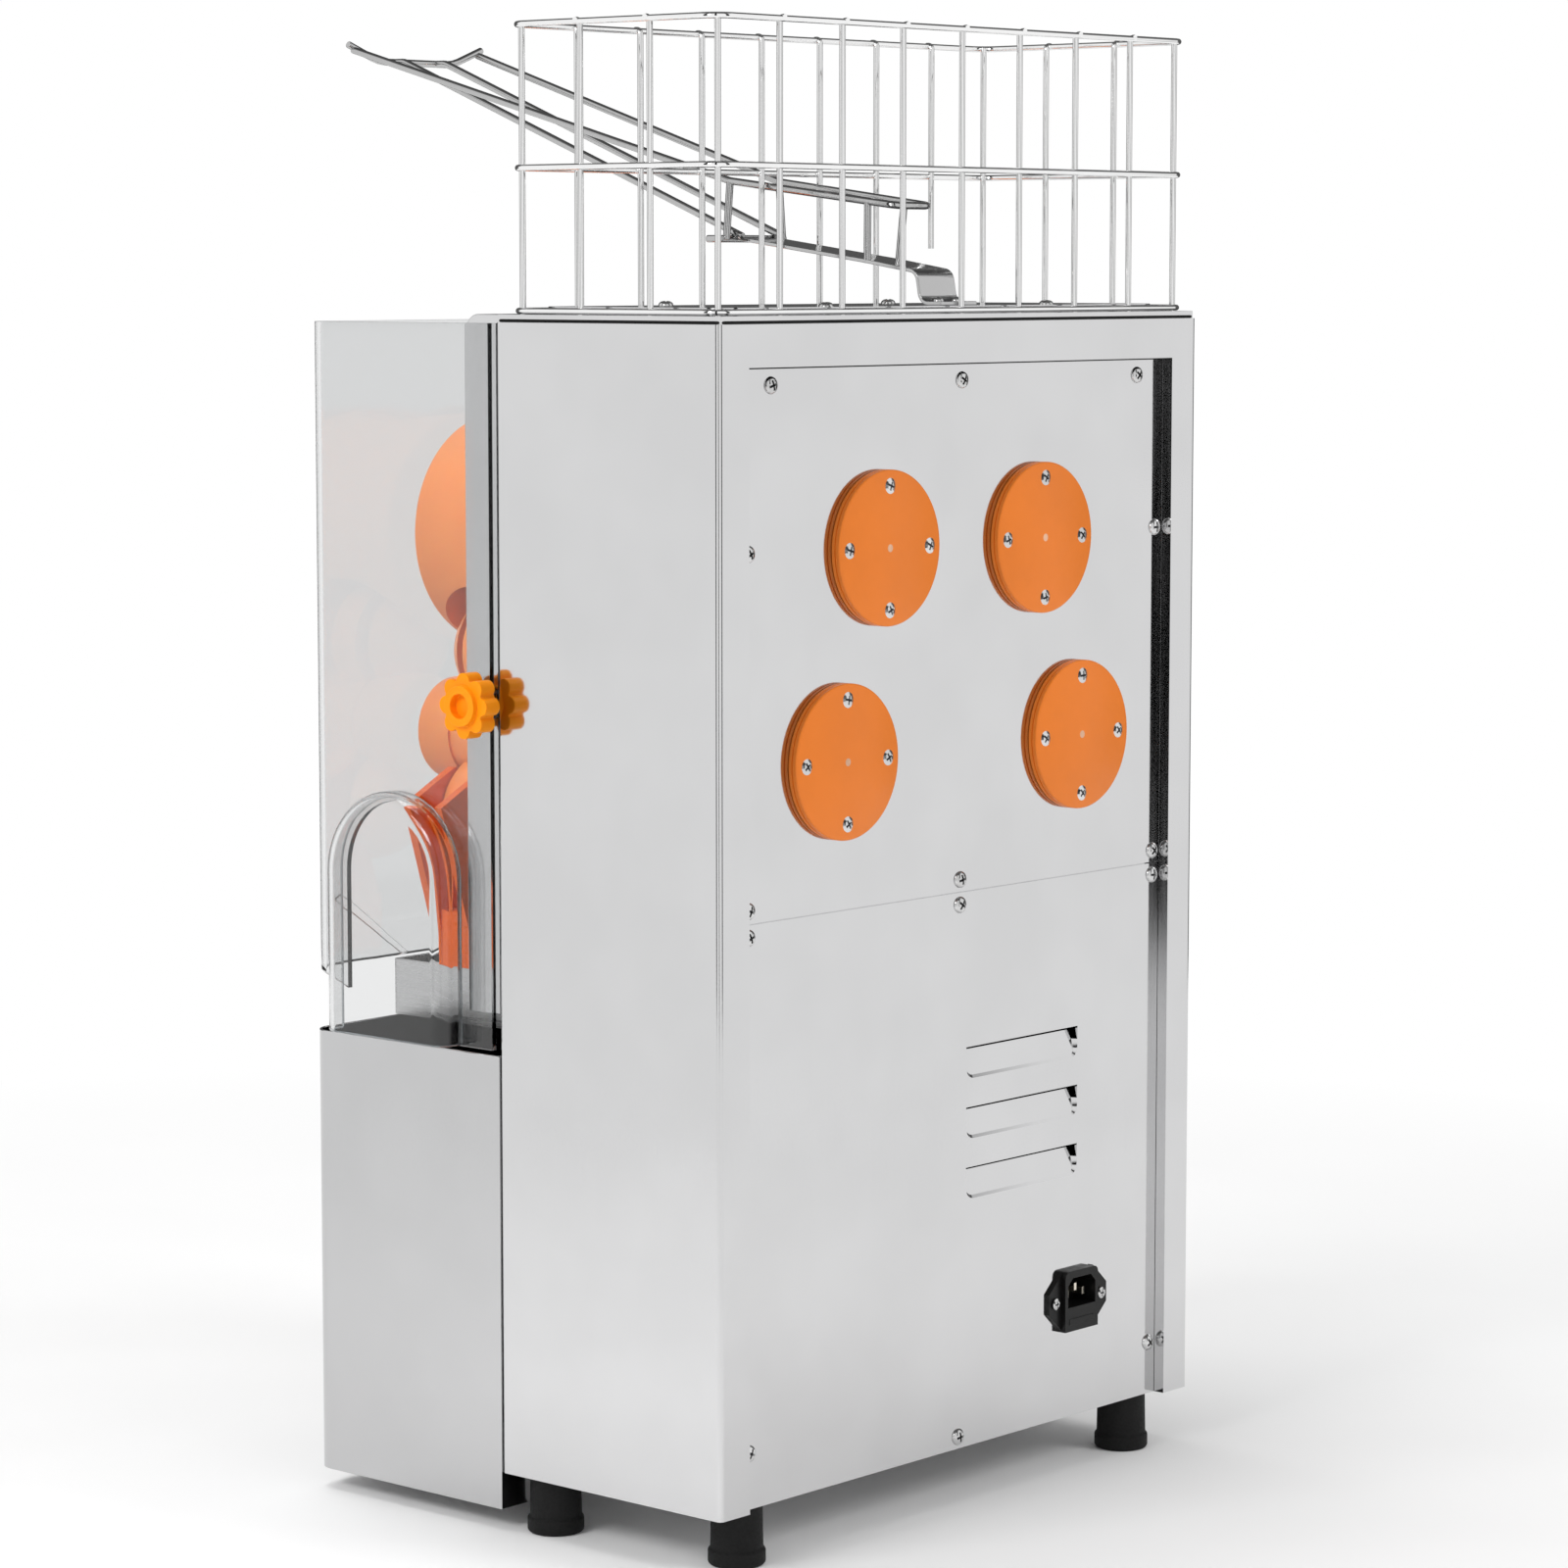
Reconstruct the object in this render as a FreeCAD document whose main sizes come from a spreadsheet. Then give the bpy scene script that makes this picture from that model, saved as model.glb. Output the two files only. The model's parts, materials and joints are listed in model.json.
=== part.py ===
import FreeCAD, Part
import Sketcher
import math
import os

from FreeCAD import Placement, Rotation, Vector

# Countertop orange juicer, in millimetres.
# X runs across the machine, Y from front to back, Z up. The origin is on the floor,
# under the middle of the whole outline.

SIZES = {
    # Whole machine
    "overall_depth": 434.0,
    "fit": 0.3,
    "seat": 0.05,
    "overrun": 5.0,
    "sheet": 1.5,
    # Feet
    "foot_height": 31.0,
    "foot_radius": 14.8,
    "foot_neck_radius": 13.2,
    "foot_groove": 1.2,
    "foot_bolt_radius": 3.0,
    "rear_foot_side_inset": 34.3,
    "rear_foot_inset": 20.0,
    "front_foot_side_inset": 19.3,
    "front_foot_inset": 133.0,
    # Cabinet
    "cabinet_width": 390.6,
    "cabinet_depth": 153.3,
    "cabinet_height": 596.0,
    "cabinet_corner": 3.0,
    "frame_side": 22.0,
    "frame_top": 21.3,
    "frame_recess": 6.5,
    "lip_width": 13.0,
    "lower_panel_height": 298.0,
    "panel_gap": 0.6,
    "pan_edge": 14.0,
    # Screws in the rear panels
    "panel_screw_radius": 4.5,
    "panel_screw_head": 2.2,
    "panel_screw_shank": 1.9,
    "panel_screw_length": 7.0,
    "screw_side_inset": 28.3,
    "top_screw_side_inset": 45.3,
    "top_screw_drop": 9.0,
    "mid_screw_drop": 92.0,
    "seam_screw_offset": 6.7,
    "low_screw_rise": 29.0,
    "foot_screw_rise": 6.5,
    # Louvres in the lower panel
    "louvre_width": 88.0,
    "louvre_height": 18.0,
    "louvre_side_x": 10.0,
    "louvre_top_rise": 213.5,
    "louvre_pitch": 32.25,
    "louvre_depth": 7.0,
    "louvre_corner": 7.0,
    # Round bearing covers
    "cap_radius": 40.0,
    "cap_thickness": 5.5,
    "cap_rim": 1.6,
    "cap_groove_radius": 34.6,
    "cap_groove_depth": 0.8,
    "cap_groove_width": 1.6,
    "cap_mark_radius": 3.0,
    "cap_mark_depth": 0.6,
    "cap_screw_circle": 27.5,
    "cap_screw_head": 4.2,
    "cap_screw_shank": 1.9,
    "cap_screw_length": 8.5,
    "cap_access_radius": 23.0,
    # Mains inlet
    "inlet_x": 101.0,
    "inlet_rise": 65.0,
    "inlet_flange_width": 50.7,
    "inlet_flange_height": 33.7,
    "inlet_flange_thickness": 3.0,
    "inlet_top_width": 32.0,
    "inlet_body_width": 29.0,
    "inlet_body_height": 30.0,
    "inlet_body_depth": 30.0,
    "inlet_ear_height": 12.0,
    "socket_width": 24.0,
    "socket_height": 16.0,
    "socket_depth": 17.0,
    "socket_rise": 4.6,
    "socket_corner": 4.0,
    "inlet_pin_pitch": 7.0,
    "inlet_pin_width": 2.0,
    "inlet_pin_height": 4.0,
    "inlet_pin_length": 14.0,
    "inlet_pin_lift": 1.6,
    "inlet_screw_x": 20.0,
    "inlet_screw_head": 3.2,
    "inlet_screw_shank": 1.6,
    "inlet_screw_length": 9.0,
    "fuse_width": 22.0,
    "fuse_height": 7.0,
    "fuse_depth": 22.0,
    "fuse_drop": 9.6,
    "fuse_lip": 1.6,
    "fuse_bay_length": 16.0,
    "fuse_bay_width": 6.0,
    # Front housing
    "housing_step": 5.3,
    "housing_depth": 25.7,
    "housing_bottom": 271.0,
    "housing_top": 631.0,
    "housing_edge": 8.0,
    # Gear train and shafts
    "gear_module": 4.0,
    "gear_width": 20.0,
    "gear_inset": 50.0,
    "sync_inset": 86.0,
    "gear_hub_step": 6.0,
    "gear_web": 4.0,
    "gear_web_inner": 26.0,
    "gear_rim": 9.0,
    "shaft_radius": 10.0,
    "shaft_inset": 14.0,
    "shaft_chamfer": 1.0,
    "thread_radius": 6.0,
    "thread_length": 6.0,
    "upper_axis_z": 512.5,
    "lower_axis_x": 96.9,
    "plate_thickness": 8.0,
    "rear_plate_inset": 24.0,
    "front_plate_inset": 140.0,
    "plate_bottom": 318.0,
    "plate_top": 592.0,
    "bearing_radius": 21.0,
    "bearing_width": 11.0,
    "bearing_race": 3.4,
    "bearing_dish": 1.2,
    "pillar_radius": 8.0,
    "pillar_side_inset": 30.3,
    "pillar_rise": 22.0,
    "shaft_hole_radius": 12.0,
    # Gearmotor
    "gearbox_width": 92.0,
    "gearbox_length": 40.0,
    "gearbox_inset": 76.0,
    "gearbox_corner": 8.0,
    "motor_radius": 44.0,
    "motor_shaft_radius": 7.0,
    "motor_shaft_grip": 14.0,
    "pinion_overhang": 2.0,
    # Cup drums
    "cup_drum_radius": 62.5,
    "drum_front_inset": 282.0,
    "drum_length": 79.0,
    "cup_radius": 36.0,
    "cup_reach": 67.5,
    "press_inset": 243.0,
    "drum_hub_radius": 24.0,
    "drum_hub_gap": 1.0,
    "drum_edge": 1.2,
    # Ball drums
    "ball_radius": 33.0,
    "ball_reach": 44.5,
    "ball_hub_radius": 28.0,
    "slot_width": 7.0,
    "slot_spread": 12.0,
    "slot_floor_radius": 26.5,
    # Drum nuts
    "nut_radius": 14.0,
    "nut_length": 7.0,
    "nut_dome": 3.0,
    "nut_flat": 24.0,
    # Knife
    "knife_base_z": 415.0,
    "knife_height": 54.0,
    "knife_half_width": 13.5,
    "knife_edge_width": 1.0,
    "knife_front_inset": 275.0,
    # Juice tray and strainer
    "tray_width": 276.0,
    "tray_bottom": 252.0,
    "tray_height": 30.0,
    "tray_front_inset": 290.0,
    "tray_wall": 3.0,
    "tray_corner": 4.0,
    "tray_tongue_height": 18.6,
    "ledge_width": 28.0,
    "ledge_length": 42.0,
    "ledge_height": 12.0,
    "drain_radius": 9.0,
    "drain_inset": 235.0,
    "strainer_width": 180.0,
    "strainer_lift": 5.0,
    "strainer_height": 19.0,
    "strainer_rear_inset": 190.0,
    "strainer_wall": 2.0,
    "strainer_face_margin": 5.0,
    "strainer_face": 3.5,
    "strainer_grip_width": 60.0,
    "strainer_grip_reach": 12.0,
    "strainer_grip_height": 6.0,
    "strainer_slot": 3.0,
    "strainer_slot_pitch": 12.0,
    "strainer_slot_margin": 6.0,
    # Tap
    "tap_radius": 14.0,
    "tap_length": 40.0,
    "tap_flange_radius": 20.0,
    "tap_flange": 4.0,
    "tap_boss_radius": 11.0,
    "tap_boss_inset": 262.0,
    "tap_axis_drop": 20.0,
    "plug_radius": 7.0,
    "plug_bore_radius": 5.0,
    "plug_rear_inset": 226.0,
    "lever_thickness": 6.0,
    "lever_width": 13.0,
    "lever_length": 44.0,
    "lever_rounding": 2.0,
    # Ejectors
    "ejector_thickness": 5.0,
    "ejector_tip_reach": 31.0,
    "ejector_base_height": 30.0,
    # Peel bins
    "bin_bottom": 11.0,
    "bin_top": 250.0,
    "bin_width": 97.3,
    "bin_rear_gap": 0.2,
    "bin_front_inset": 295.0,
    "bin_corner": 12.0,
    # Clear cover
    "cover_gap": 1.5,
    "cover_wall": 3.0,
    "cover_rear_inset": 159.0,
    "cover_front_inset": 294.0,
    "cover_bottom": 252.5,
    "cover_top": 626.5,
    "cover_corner": 12.0,
    "cover_lip_inset": 195.0,
    "cover_front_bottom": 284.0,
    "rib_outer_inset": 22.5,
    "rib_inner_inset": 71.5,
    "rib_rise": 34.0,
    "rib_width": 5.0,
    "rib_thickness": 2.0,
    # Outlet hoods
    "hood_inset": 225.0,
    "hood_half_width": 45.0,
    "hood_top": 383.0,
    "hood_bottom": 253.0,
    "hood_depth": 15.5,
    "hood_wall": 2.5,
    "hood_round": 9.0,
    # Star knobs
    "knob_inset": 163.0,
    "knob_z": 432.0,
    "knob_radius": 17.0,
    "knob_valley": 13.6,
    "knob_lobe": 4.6,
    "knob_stem_radius": 9.0,
    "knob_stem_length": 5.5,
    "knob_thickness": 10.0,
    "knob_ring_radius": 10.5,
    "knob_ring_height": 3.0,
    "knob_ring_bore": 6.35,
    "stud_radius": 4.0,
    "stud_reach": 10.0,
    "stud_pad_radius": 8.0,
    # Top cover
    "lid_step": 2.3,
    "lid_margin": 1.0,
    "plateau_step": 17.3,
    "plateau_rear_inset": 12.0,
    "plateau_front_inset": 140.0,
    "plateau_height": 4.0,
    "plateau_corner": 14.0,
    "lid_screw_radius": 4.0,
    "lid_screw_head": 2.4,
    "lid_screw_shank": 2.0,
    "lid_screw_length": 5.0,
    "lid_screw_x": 90.0,
    "lid_screw_front_inset": 132.0,
    "lid_screw_rear_inset": 22.0,
    # Wire basket
    "wire_radius": 1.6,
    "basket_step": 5.3,
    "basket_rear_inset": 5.0,
    "basket_front_inset": 147.0,
    "basket_corner": 10.0,
    "basket_bottom_z": 632.8,
    "basket_middle_z": 704.7,
    "basket_top_z": 776.5,
    "wire_pitch": 47.5,
    "short_wire_z": 665.0,
    # Wire feed ramp
    "ramp_wire_radius": 2.0,
    "ramp_half_gap": 16.5,
    "ramp_foot_inset": 42.0,
    "ramp_foot_length": 12.0,
    "ramp_knee_inset": 50.0,
    "ramp_knee_z": 651.0,
    "ramp_strap_width": 30.0,
    "ramp_strap_thickness": 2.0,
    "ramp_shelf_inset": 80.0,
    "ramp_shelf_z": 657.0,
    "ramp_cross_inset": 171.0,
    "ramp_cross_z": 669.2,
    "ramp_cross_width": 54.0,
    "ramp_cross_length": 12.0,
    "ramp_rail_rear_inset": 59.0,
    "ramp_rail_rear_z": 687.0,
    "ramp_rail_cross_z": 701.0,
    "ramp_front_low_z": 771.4,
    "ramp_front_rail_z": 777.5,
    "ramp_rail_spread": 50.0,
    "ramp_rail_rear_spread": 14.0,
    "ramp_rail_knee_spread": 20.0,
    "ramp_low_front_inset": 424.0,
    "ramp_band_inset": 432.0,
    "ramp_band_width": 107.0,
    "ramp_tip_rise": 7.0,
    # Buttons
    "button_plate_inset": 50.0,
    "button_plate_length": 62.0,
    "button_plate_z": 540.0,
    "button_plate_height": 40.0,
    "button_plate_thickness": 2.5,
    "button_radius": 9.0,
    "button_cap": 5.0,
    "button_edge": 1.2,
    "button_travel": 3.0,
    "button_shank_radius": 5.0,
    "button_pitch": 30.0,
}

MAIN_TEETH = 28
SYNC_TEETH = 32
PINION_TEETH = 14
PRESSURE_ANGLE = math.radians(20)
TOOTH_TIP_SHARE = 0.95
TOOTH_ROOT_SHARE = 1.2
TOOTH_THICKNESS_SHARE = 0.94
BALL_REST_ANGLE = 100.6
CUP_REST_ANGLE = -68.7
PINION_ANGLE = 203.7
LOUVRES = 3
KNOB_LOBES = 8
EJECTOR_TIP_ANGLE = -40.0
BASKET_SIDE_SHARES = (1 / 3, 2 / 3)
WELD_SHARE = 1.3
SHORT_WIRE_COLUMN = -3
CUP_RELIEF_ANGLE = 11.0
FLANK_STEPS = 3
FOOT_CORE_SHARE = 0.25
LOUVRE_LEAN_SHARE = 0.25
SCREW_CROWN_SHARE = 0.8
SCREW_SLOT_SHARE = 0.3
RAMP_SCREW_SHARE = 0.8
RAMP_SCREW_STEP_SHARE = 0.25
RAMP_POST_SHARE = 0.85
RAMP_BACK_POST_SHARE = 0.17
LEVER_TIP_SHARE = 0.7
EJECTOR_OUTER_SHARES = ((0.02, 0.22), (0.16, 0.50), (0.32, 0.80), (0.50, 1.14))
EJECTOR_INNER_SHARES = ((0.55, 0.80), (0.90, 0.42))

doc = FreeCAD.newDocument("orange_juicer")
sheet = doc.addObject("Spreadsheet::Sheet", "Sizes")
for row, (alias, number) in enumerate(SIZES.items(), start=1):
    sheet.set(f"A{row}", alias)
    sheet.set(f"B{row}", str(number))
    sheet.setAlias(f"B{row}", alias)
doc.recompute()


def text_of(value):
    """The expression text of a size or a plain number."""
    return value.text if isinstance(value, Size) else repr(float(value))


class Size:
    """A length with the cell expression that gives it."""

    def __init__(self, number, text):
        self.number = number
        self.text = text

    def __float__(self):
        return self.number

    def __neg__(self):
        return Size(-self.number, f"(-1 * {self.text})")

    def __add__(self, other):
        return Size(self.number + float(other), f"({self.text} + {text_of(other)})")

    def __radd__(self, other):
        return self + other

    def __sub__(self, other):
        return Size(self.number - float(other), f"({self.text} - {text_of(other)})")

    def __rsub__(self, other):
        return Size(float(other) - self.number, f"({text_of(other)} - {self.text})")

    def __mul__(self, other):
        return Size(self.number * float(other), f"({self.text} * {text_of(other)})")

    def __rmul__(self, other):
        return self * other

    def __truediv__(self, other):
        return Size(self.number / float(other), f"({self.text} / {text_of(other)})")


class Cells:
    """The sheet's cells, read by alias."""

    def __getattr__(self, alias):
        return Size(float(sheet.get(alias)), f"Sizes.{alias}")


s = Cells()


def root_of(value):
    """The square root of an area."""
    return Size(math.sqrt(float(value)), f"sqrt({value.text})")


# Building blocks

def bind(item, prop, value):
    """Tie a property of an object to the sheet."""
    item.setExpression(prop, text_of(value))


def move_to(item, x, y, z):
    """Tie an object's place to the sheet."""
    for letter, value in (("x", x), ("y", y), ("z", z)):
        bind(item, f"Placement.Base.{letter}", value)


def turn_for(axis):
    """The rotation that lays the Z axis along X, Y or Z."""
    turns = {
        "X": Rotation(Vector(0, 1, 0), 90),
        "Y": Rotation(Vector(1, 0, 0), -90),
        "Z": Rotation(),
    }
    return turns[axis]


def box(name, x, y, z):
    """A block between two planes on each axis."""
    item = doc.addObject("Part::Box", name)
    for prop, (low, high) in (("Length", x), ("Width", y), ("Height", z)):
        bind(item, prop, high - low)
    move_to(item, x[0], y[0], z[0])
    return item


def place_along(item, axis, start, across):
    """Lay an object along an axis, starting at a plane, centred on two places across."""
    item.Placement = Placement(Vector(), turn_for(axis))
    first, second = across
    where = {
        "X": (start, first, second),
        "Y": (first, start, second),
        "Z": (first, second, start),
    }
    move_to(item, *where[axis])


def rod(name, radius, axis, span, across):
    """A round bar along an axis, between two planes."""
    item = doc.addObject("Part::Cylinder", name)
    bind(item, "Radius", radius)
    bind(item, "Height", span[1] - span[0])
    place_along(item, axis, span[0], across)
    return item


def cone(name, radii, axis, span, across):
    """A cone along an axis, between two planes."""
    item = doc.addObject("Part::Cone", name)
    bind(item, "Radius1", radii[0])
    bind(item, "Radius2", radii[1])
    bind(item, "Height", span[1] - span[0])
    place_along(item, axis, span[0], across)
    return item


def ball(name, radius, x, y, z):
    """A sphere."""
    item = doc.addObject("Part::Sphere", name)
    bind(item, "Radius", radius)
    move_to(item, x, y, z)
    return item


def fuse(name, parts):
    """Several objects joined into one."""
    item = doc.addObject("Part::MultiFuse", name)
    item.Shapes = parts
    item.Refine = True
    return item


def cut(name, base, tools):
    """An object with others taken out of it."""
    item = doc.addObject("Part::Cut", name)
    item.Base = base
    item.Tool = tools[0] if len(tools) == 1 else fuse(name + "_tools", tools)
    return item


def group(name, parts):
    """Several separate solids in one node."""
    item = doc.addObject("Part::Compound", name)
    item.Links = parts
    return item


def sketch_on(body, name, role, offset):
    """A sketch on one of the body's own planes, moved along the plane's normal."""
    sketch = body.newObject("Sketcher::SketchObject", name)
    plane = next(p for p in body.Origin.OriginFeatures if p.Role == role)
    sketch.AttachmentSupport = (plane, [""])
    sketch.MapMode = "FlatFace"
    bind(sketch, "AttachmentOffset.Base.z", offset)
    return sketch


def draw_outline(sketch, points):
    """A closed outline of straight lines, each corner tied to its two sizes."""
    spots = [Vector(float(x), float(y), 0) for x, y in points]
    for index, spot in enumerate(spots):
        sketch.addGeometry(Part.LineSegment(spot, spots[(index + 1) % len(spots)]))
    for index in range(len(spots)):
        following = (index + 1) % len(spots)
        sketch.addConstraint(Sketcher.Constraint("Coincident", index, 2, following, 1))
    for index, (x, y) in enumerate(points):
        for kind, value in (("DistanceX", x), ("DistanceY", y)):
            spot = sketch.addConstraint(
                Sketcher.Constraint(kind, -1, 1, index, 1, float(value)))
            sketch.setExpression(f"Constraints[{spot}]", text_of(value))


def pad(body, sketch, name, length):
    """The sketch pushed out along its normal."""
    feature = body.newObject("PartDesign::Pad", name)
    feature.Profile = sketch
    bind(feature, "Length", length)
    return feature


def prism(name, plane, points, span):
    """An outline pushed out between two planes. Plane is XY, XZ or YZ."""
    body = doc.addObject("PartDesign::Body", name)
    low, high = span
    offset = -high if plane == "XZ" else low
    sketch = sketch_on(body, name + "_outline", plane + "_Plane", offset)
    draw_outline(sketch, points)
    pad(body, sketch, name + "_pad", high - low)
    return body


def round_edges(body, radius, wanted):
    """Round the edges of a body's last feature that the test picks."""
    doc.recompute()
    tip = body.Tip
    names = [f"Edge{i}" for i, edge in enumerate(tip.Shape.Edges, start=1) if wanted(edge)]
    feature = body.newObject("PartDesign::Fillet", body.Name + f"_round{len(body.Group)}")
    feature.Base = (tip, names)
    bind(feature, "Radius", radius)
    body.Tip = feature
    return body


def runs_along(axis):
    """A test for straight edges along an axis."""
    def test(edge):
        direction = edge.lastVertex().Point - edge.firstVertex().Point
        return direction.Length > 0 and abs(direction.normalize().dot(axis)) > 0.999
    return test


def turned(name, points, axis, start, across):
    """A profile of radius and height turned about an axis."""
    body = doc.addObject("PartDesign::Body", name)
    sketch = sketch_on(body, name + "_profile", "XZ_Plane", 0.0)
    draw_outline(sketch, points)
    feature = body.newObject("PartDesign::Revolution", name + "_turn")
    feature.Profile = sketch
    feature.ReferenceAxis = (sketch, ["V_Axis"])
    feature.Angle = 360
    place_along(body, axis, start, across)
    return body


def shaped(name, shape):
    """An object whose shape is worked out from the sheet's sizes."""
    item = doc.addObject("Part::Feature", name)
    item.Shape = shape
    return item


def label(item, node):
    """Name a finished sub-part."""
    item.Label = node
    NODES.append(item)
    return item


NODES = []

# Places shared by several sub-parts

REAR = s.overall_depth / 2
SIDE = s.cabinet_width / 2
HOUSING_SIDE = SIDE - s.housing_step
COVER_SIDE = HOUSING_SIDE + s.cover_gap + s.cover_wall
CABINET_TOP = s.foot_height + s.cabinet_height
PANEL_FACE = REAR - s.frame_recess
PANEL_BACK = PANEL_FACE - s.sheet
CABINET_FRONT = REAR - s.cabinet_depth
HOUSING_FRONT = CABINET_FRONT - s.housing_depth
UPPER_X = s.gear_module * SYNC_TEETH / 2
SHAFT_DISTANCE = s.gear_module * MAIN_TEETH
LOWER_STEP_X = s.lower_axis_x - UPPER_X
LOWER_Z = s.upper_axis_z - root_of(SHAFT_DISTANCE * SHAFT_DISTANCE - LOWER_STEP_X * LOWER_STEP_X)
PINION_DISTANCE = s.gear_module * (MAIN_TEETH + PINION_TEETH) / 2
PINION_X = s.lower_axis_x + PINION_DISTANCE * math.cos(math.radians(PINION_ANGLE))
PINION_Z = LOWER_Z + PINION_DISTANCE * math.sin(math.radians(PINION_ANGLE))
DRUM_FRONT = REAR - s.drum_front_inset
PRESS_Y = REAR - s.press_inset
TRAY_TOP = s.tray_bottom + s.tray_height
SIDES = (("right", 1), ("left", -1))

SHAFTS = {
    "upper_right": (UPPER_X, s.upper_axis_z),
    "upper_left": (-UPPER_X, s.upper_axis_z),
    "lower_right": (s.lower_axis_x, LOWER_Z),
    "lower_left": (-s.lower_axis_x, LOWER_Z),
}


def at_inset(inset):
    """The place along Y at a distance forward of the rear face."""
    return REAR - inset


def spanned(side, near, far):
    """A span along X on one side of the middle."""
    return (near, far) if side > 0 else (-far, -near)


def both(value):
    """A span that is centred on the middle."""
    return (-value, value)


# Cabinet

def cabinet_wrap():
    """The folded sheet body: two sides, front wall and the frame round the rear panels."""
    z = (s.foot_height, CABINET_TOP)
    outer = prism("wrap_outer", "XY", rectangle(both(SIDE), (CABINET_FRONT, REAR)), z)
    round_edges(outer, s.cabinet_corner, runs_along(Vector(0, 0, 1)))
    inside = both(SIDE - s.sheet)
    open_z = (s.foot_height - s.overrun, CABINET_TOP + s.overrun)
    tools = [
        box("wrap_inside", inside, (CABINET_FRONT + s.sheet, PANEL_BACK - s.sheet), open_z),
        box("wrap_window", both(SIDE - s.frame_side), (PANEL_BACK, REAR + s.overrun),
            (s.foot_height - s.overrun, CABINET_TOP - s.frame_top)),
    ]
    seam = s.foot_height + s.lower_panel_height
    openings = (
        (s.foot_height + s.lip_width, seam - s.lip_width),
        (seam + s.lip_width, CABINET_TOP - s.frame_top - s.lip_width * 2),
    )
    for index, opening_z in enumerate(openings):
        tools.append(box(f"wrap_opening{index}", both(SIDE - s.frame_side - s.lip_width),
                         (PANEL_BACK - s.sheet - s.overrun, REAR), opening_z))
    tools += screw_holes("wrap_screw_hole", panel_screw_places(), s.panel_screw_shank + s.seat)
    for where, (x, z_axis) in SHAFTS.items():
        tools.append(rod(f"wrap_hole_{where}", s.shaft_hole_radius, "Y",
                         (CABINET_FRONT - s.overrun, CABINET_FRONT + s.overrun), (x, z_axis)))
    for index, (y, z_button) in enumerate(button_places()):
        tools.append(rod(f"wrap_button_hole{index}", s.button_shank_radius + s.fit, "X",
                         (-SIDE - s.overrun, -SIDE + s.overrun), (y, z_button)))
    label(cut("wrap_cut", outer, tools), "cabinet_wrap")


def rectangle(x, y):
    """The four corners of a rectangle."""
    return [(x[0], y[0]), (x[1], y[0]), (x[1], y[1]), (x[0], y[1])]


def base_pan():
    """The floor of the cabinet with its edges turned up."""
    x = both(SIDE - s.sheet - s.fit)
    y = (CABINET_FRONT + s.sheet + s.fit, PANEL_BACK - s.sheet - s.fit)
    top = s.foot_height + s.pan_edge
    outer = box("pan_outer", x, y, (s.foot_height, top))
    inner = box("pan_inner", (x[0] + s.sheet, x[1] - s.sheet), (y[0] + s.sheet, y[1] - s.sheet),
                (s.foot_height + s.sheet, top + s.overrun))
    holes = [rod(f"pan_hole{i}", s.foot_bolt_radius + s.seat, "Z",
                 (s.foot_height - s.overrun, top), place)
             for i, place in enumerate(foot_places())]
    low_screw = panel_screw_places()[-1]
    holes += screw_holes("pan_screw_hole", [low_screw], s.panel_screw_shank + s.seat)
    label(cut("pan_cut", outer, [inner] + holes), "base_pan")


def foot_places():
    """The centres of the four feet."""
    rear_y = at_inset(s.rear_foot_inset)
    front_y = at_inset(s.front_foot_inset)
    rear_x = SIDE - s.rear_foot_side_inset
    front_x = SIDE - s.front_foot_side_inset
    return [(rear_x, rear_y), (-rear_x, rear_y), (front_x, front_y), (-front_x, front_y)]


def feet():
    """Four rubber feet with a groove near the floor and a bolt into the pan."""
    shapes = []
    low = s.foot_height * FOOT_CORE_SHARE
    profile = [
        (0.0, 0.0), (s.foot_radius - s.foot_groove, 0.0), (s.foot_radius, s.foot_groove),
        (s.foot_radius, low), (s.foot_radius - s.foot_groove, low + s.foot_groove),
        (s.foot_neck_radius, s.foot_height), (s.foot_bolt_radius, s.foot_height),
        (s.foot_bolt_radius, s.foot_height + s.sheet), (0.0, s.foot_height + s.sheet),
    ]
    for index, place in enumerate(foot_places()):
        shapes.append(turned(f"foot{index}", profile, "Z", 0.0, place))
    label(group("foot_group", shapes), "feet")


def panel_span():
    """The width of the rear panels between the sides of the frame."""
    return both(SIDE - s.frame_side - s.fit)


def panel_screw_places():
    """The screws round the upper and the lower panel."""
    seam = s.foot_height + s.lower_panel_height
    top = CABINET_TOP - s.frame_top
    top_column = SIDE - s.top_screw_side_inset
    places = [(x, top - s.top_screw_drop) for x in (-top_column, 0.0, top_column)]
    column = both(SIDE - s.screw_side_inset)
    row = (column[0], 0.0, column[1])
    places += [(x, top - s.mid_screw_drop) for x in column]
    places += [(x, seam + s.seam_screw_offset) for x in row]
    places += [(x, seam - s.seam_screw_offset) for x in row]
    places += [(x, s.foot_height + s.low_screw_rise) for x in column]
    places += [(0.0, s.foot_height + s.foot_screw_rise)]
    return places


def screw_holes(name, places, radius):
    """Holes through the rear panels."""
    span = (PANEL_FACE - s.panel_screw_length - s.overrun, PANEL_FACE + s.overrun)
    return [rod(f"{name}{i}", radius, "Y", span, place) for i, place in enumerate(places)]


def upper_rear_panel():
    """The plain panel behind the bearings."""
    seam = s.foot_height + s.lower_panel_height
    top = CABINET_TOP - s.frame_top
    z = (seam + s.panel_gap / 2, top - s.fit)
    plate = box("upper_plate", panel_span(), (PANEL_BACK, PANEL_FACE), z)
    places = [p for p in panel_screw_places() if float(p[1]) > float(seam)]
    tools = screw_holes("upper_panel_hole", places, s.panel_screw_shank + s.seat)
    tools += screw_holes("access_hole", list(SHAFTS.values()), s.cap_access_radius)
    tools += screw_holes("cap_hole", cap_screw_places(), s.cap_screw_shank + s.seat)
    label(cut("upper_panel_cut", plate, tools), "upper_rear_panel")


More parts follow.
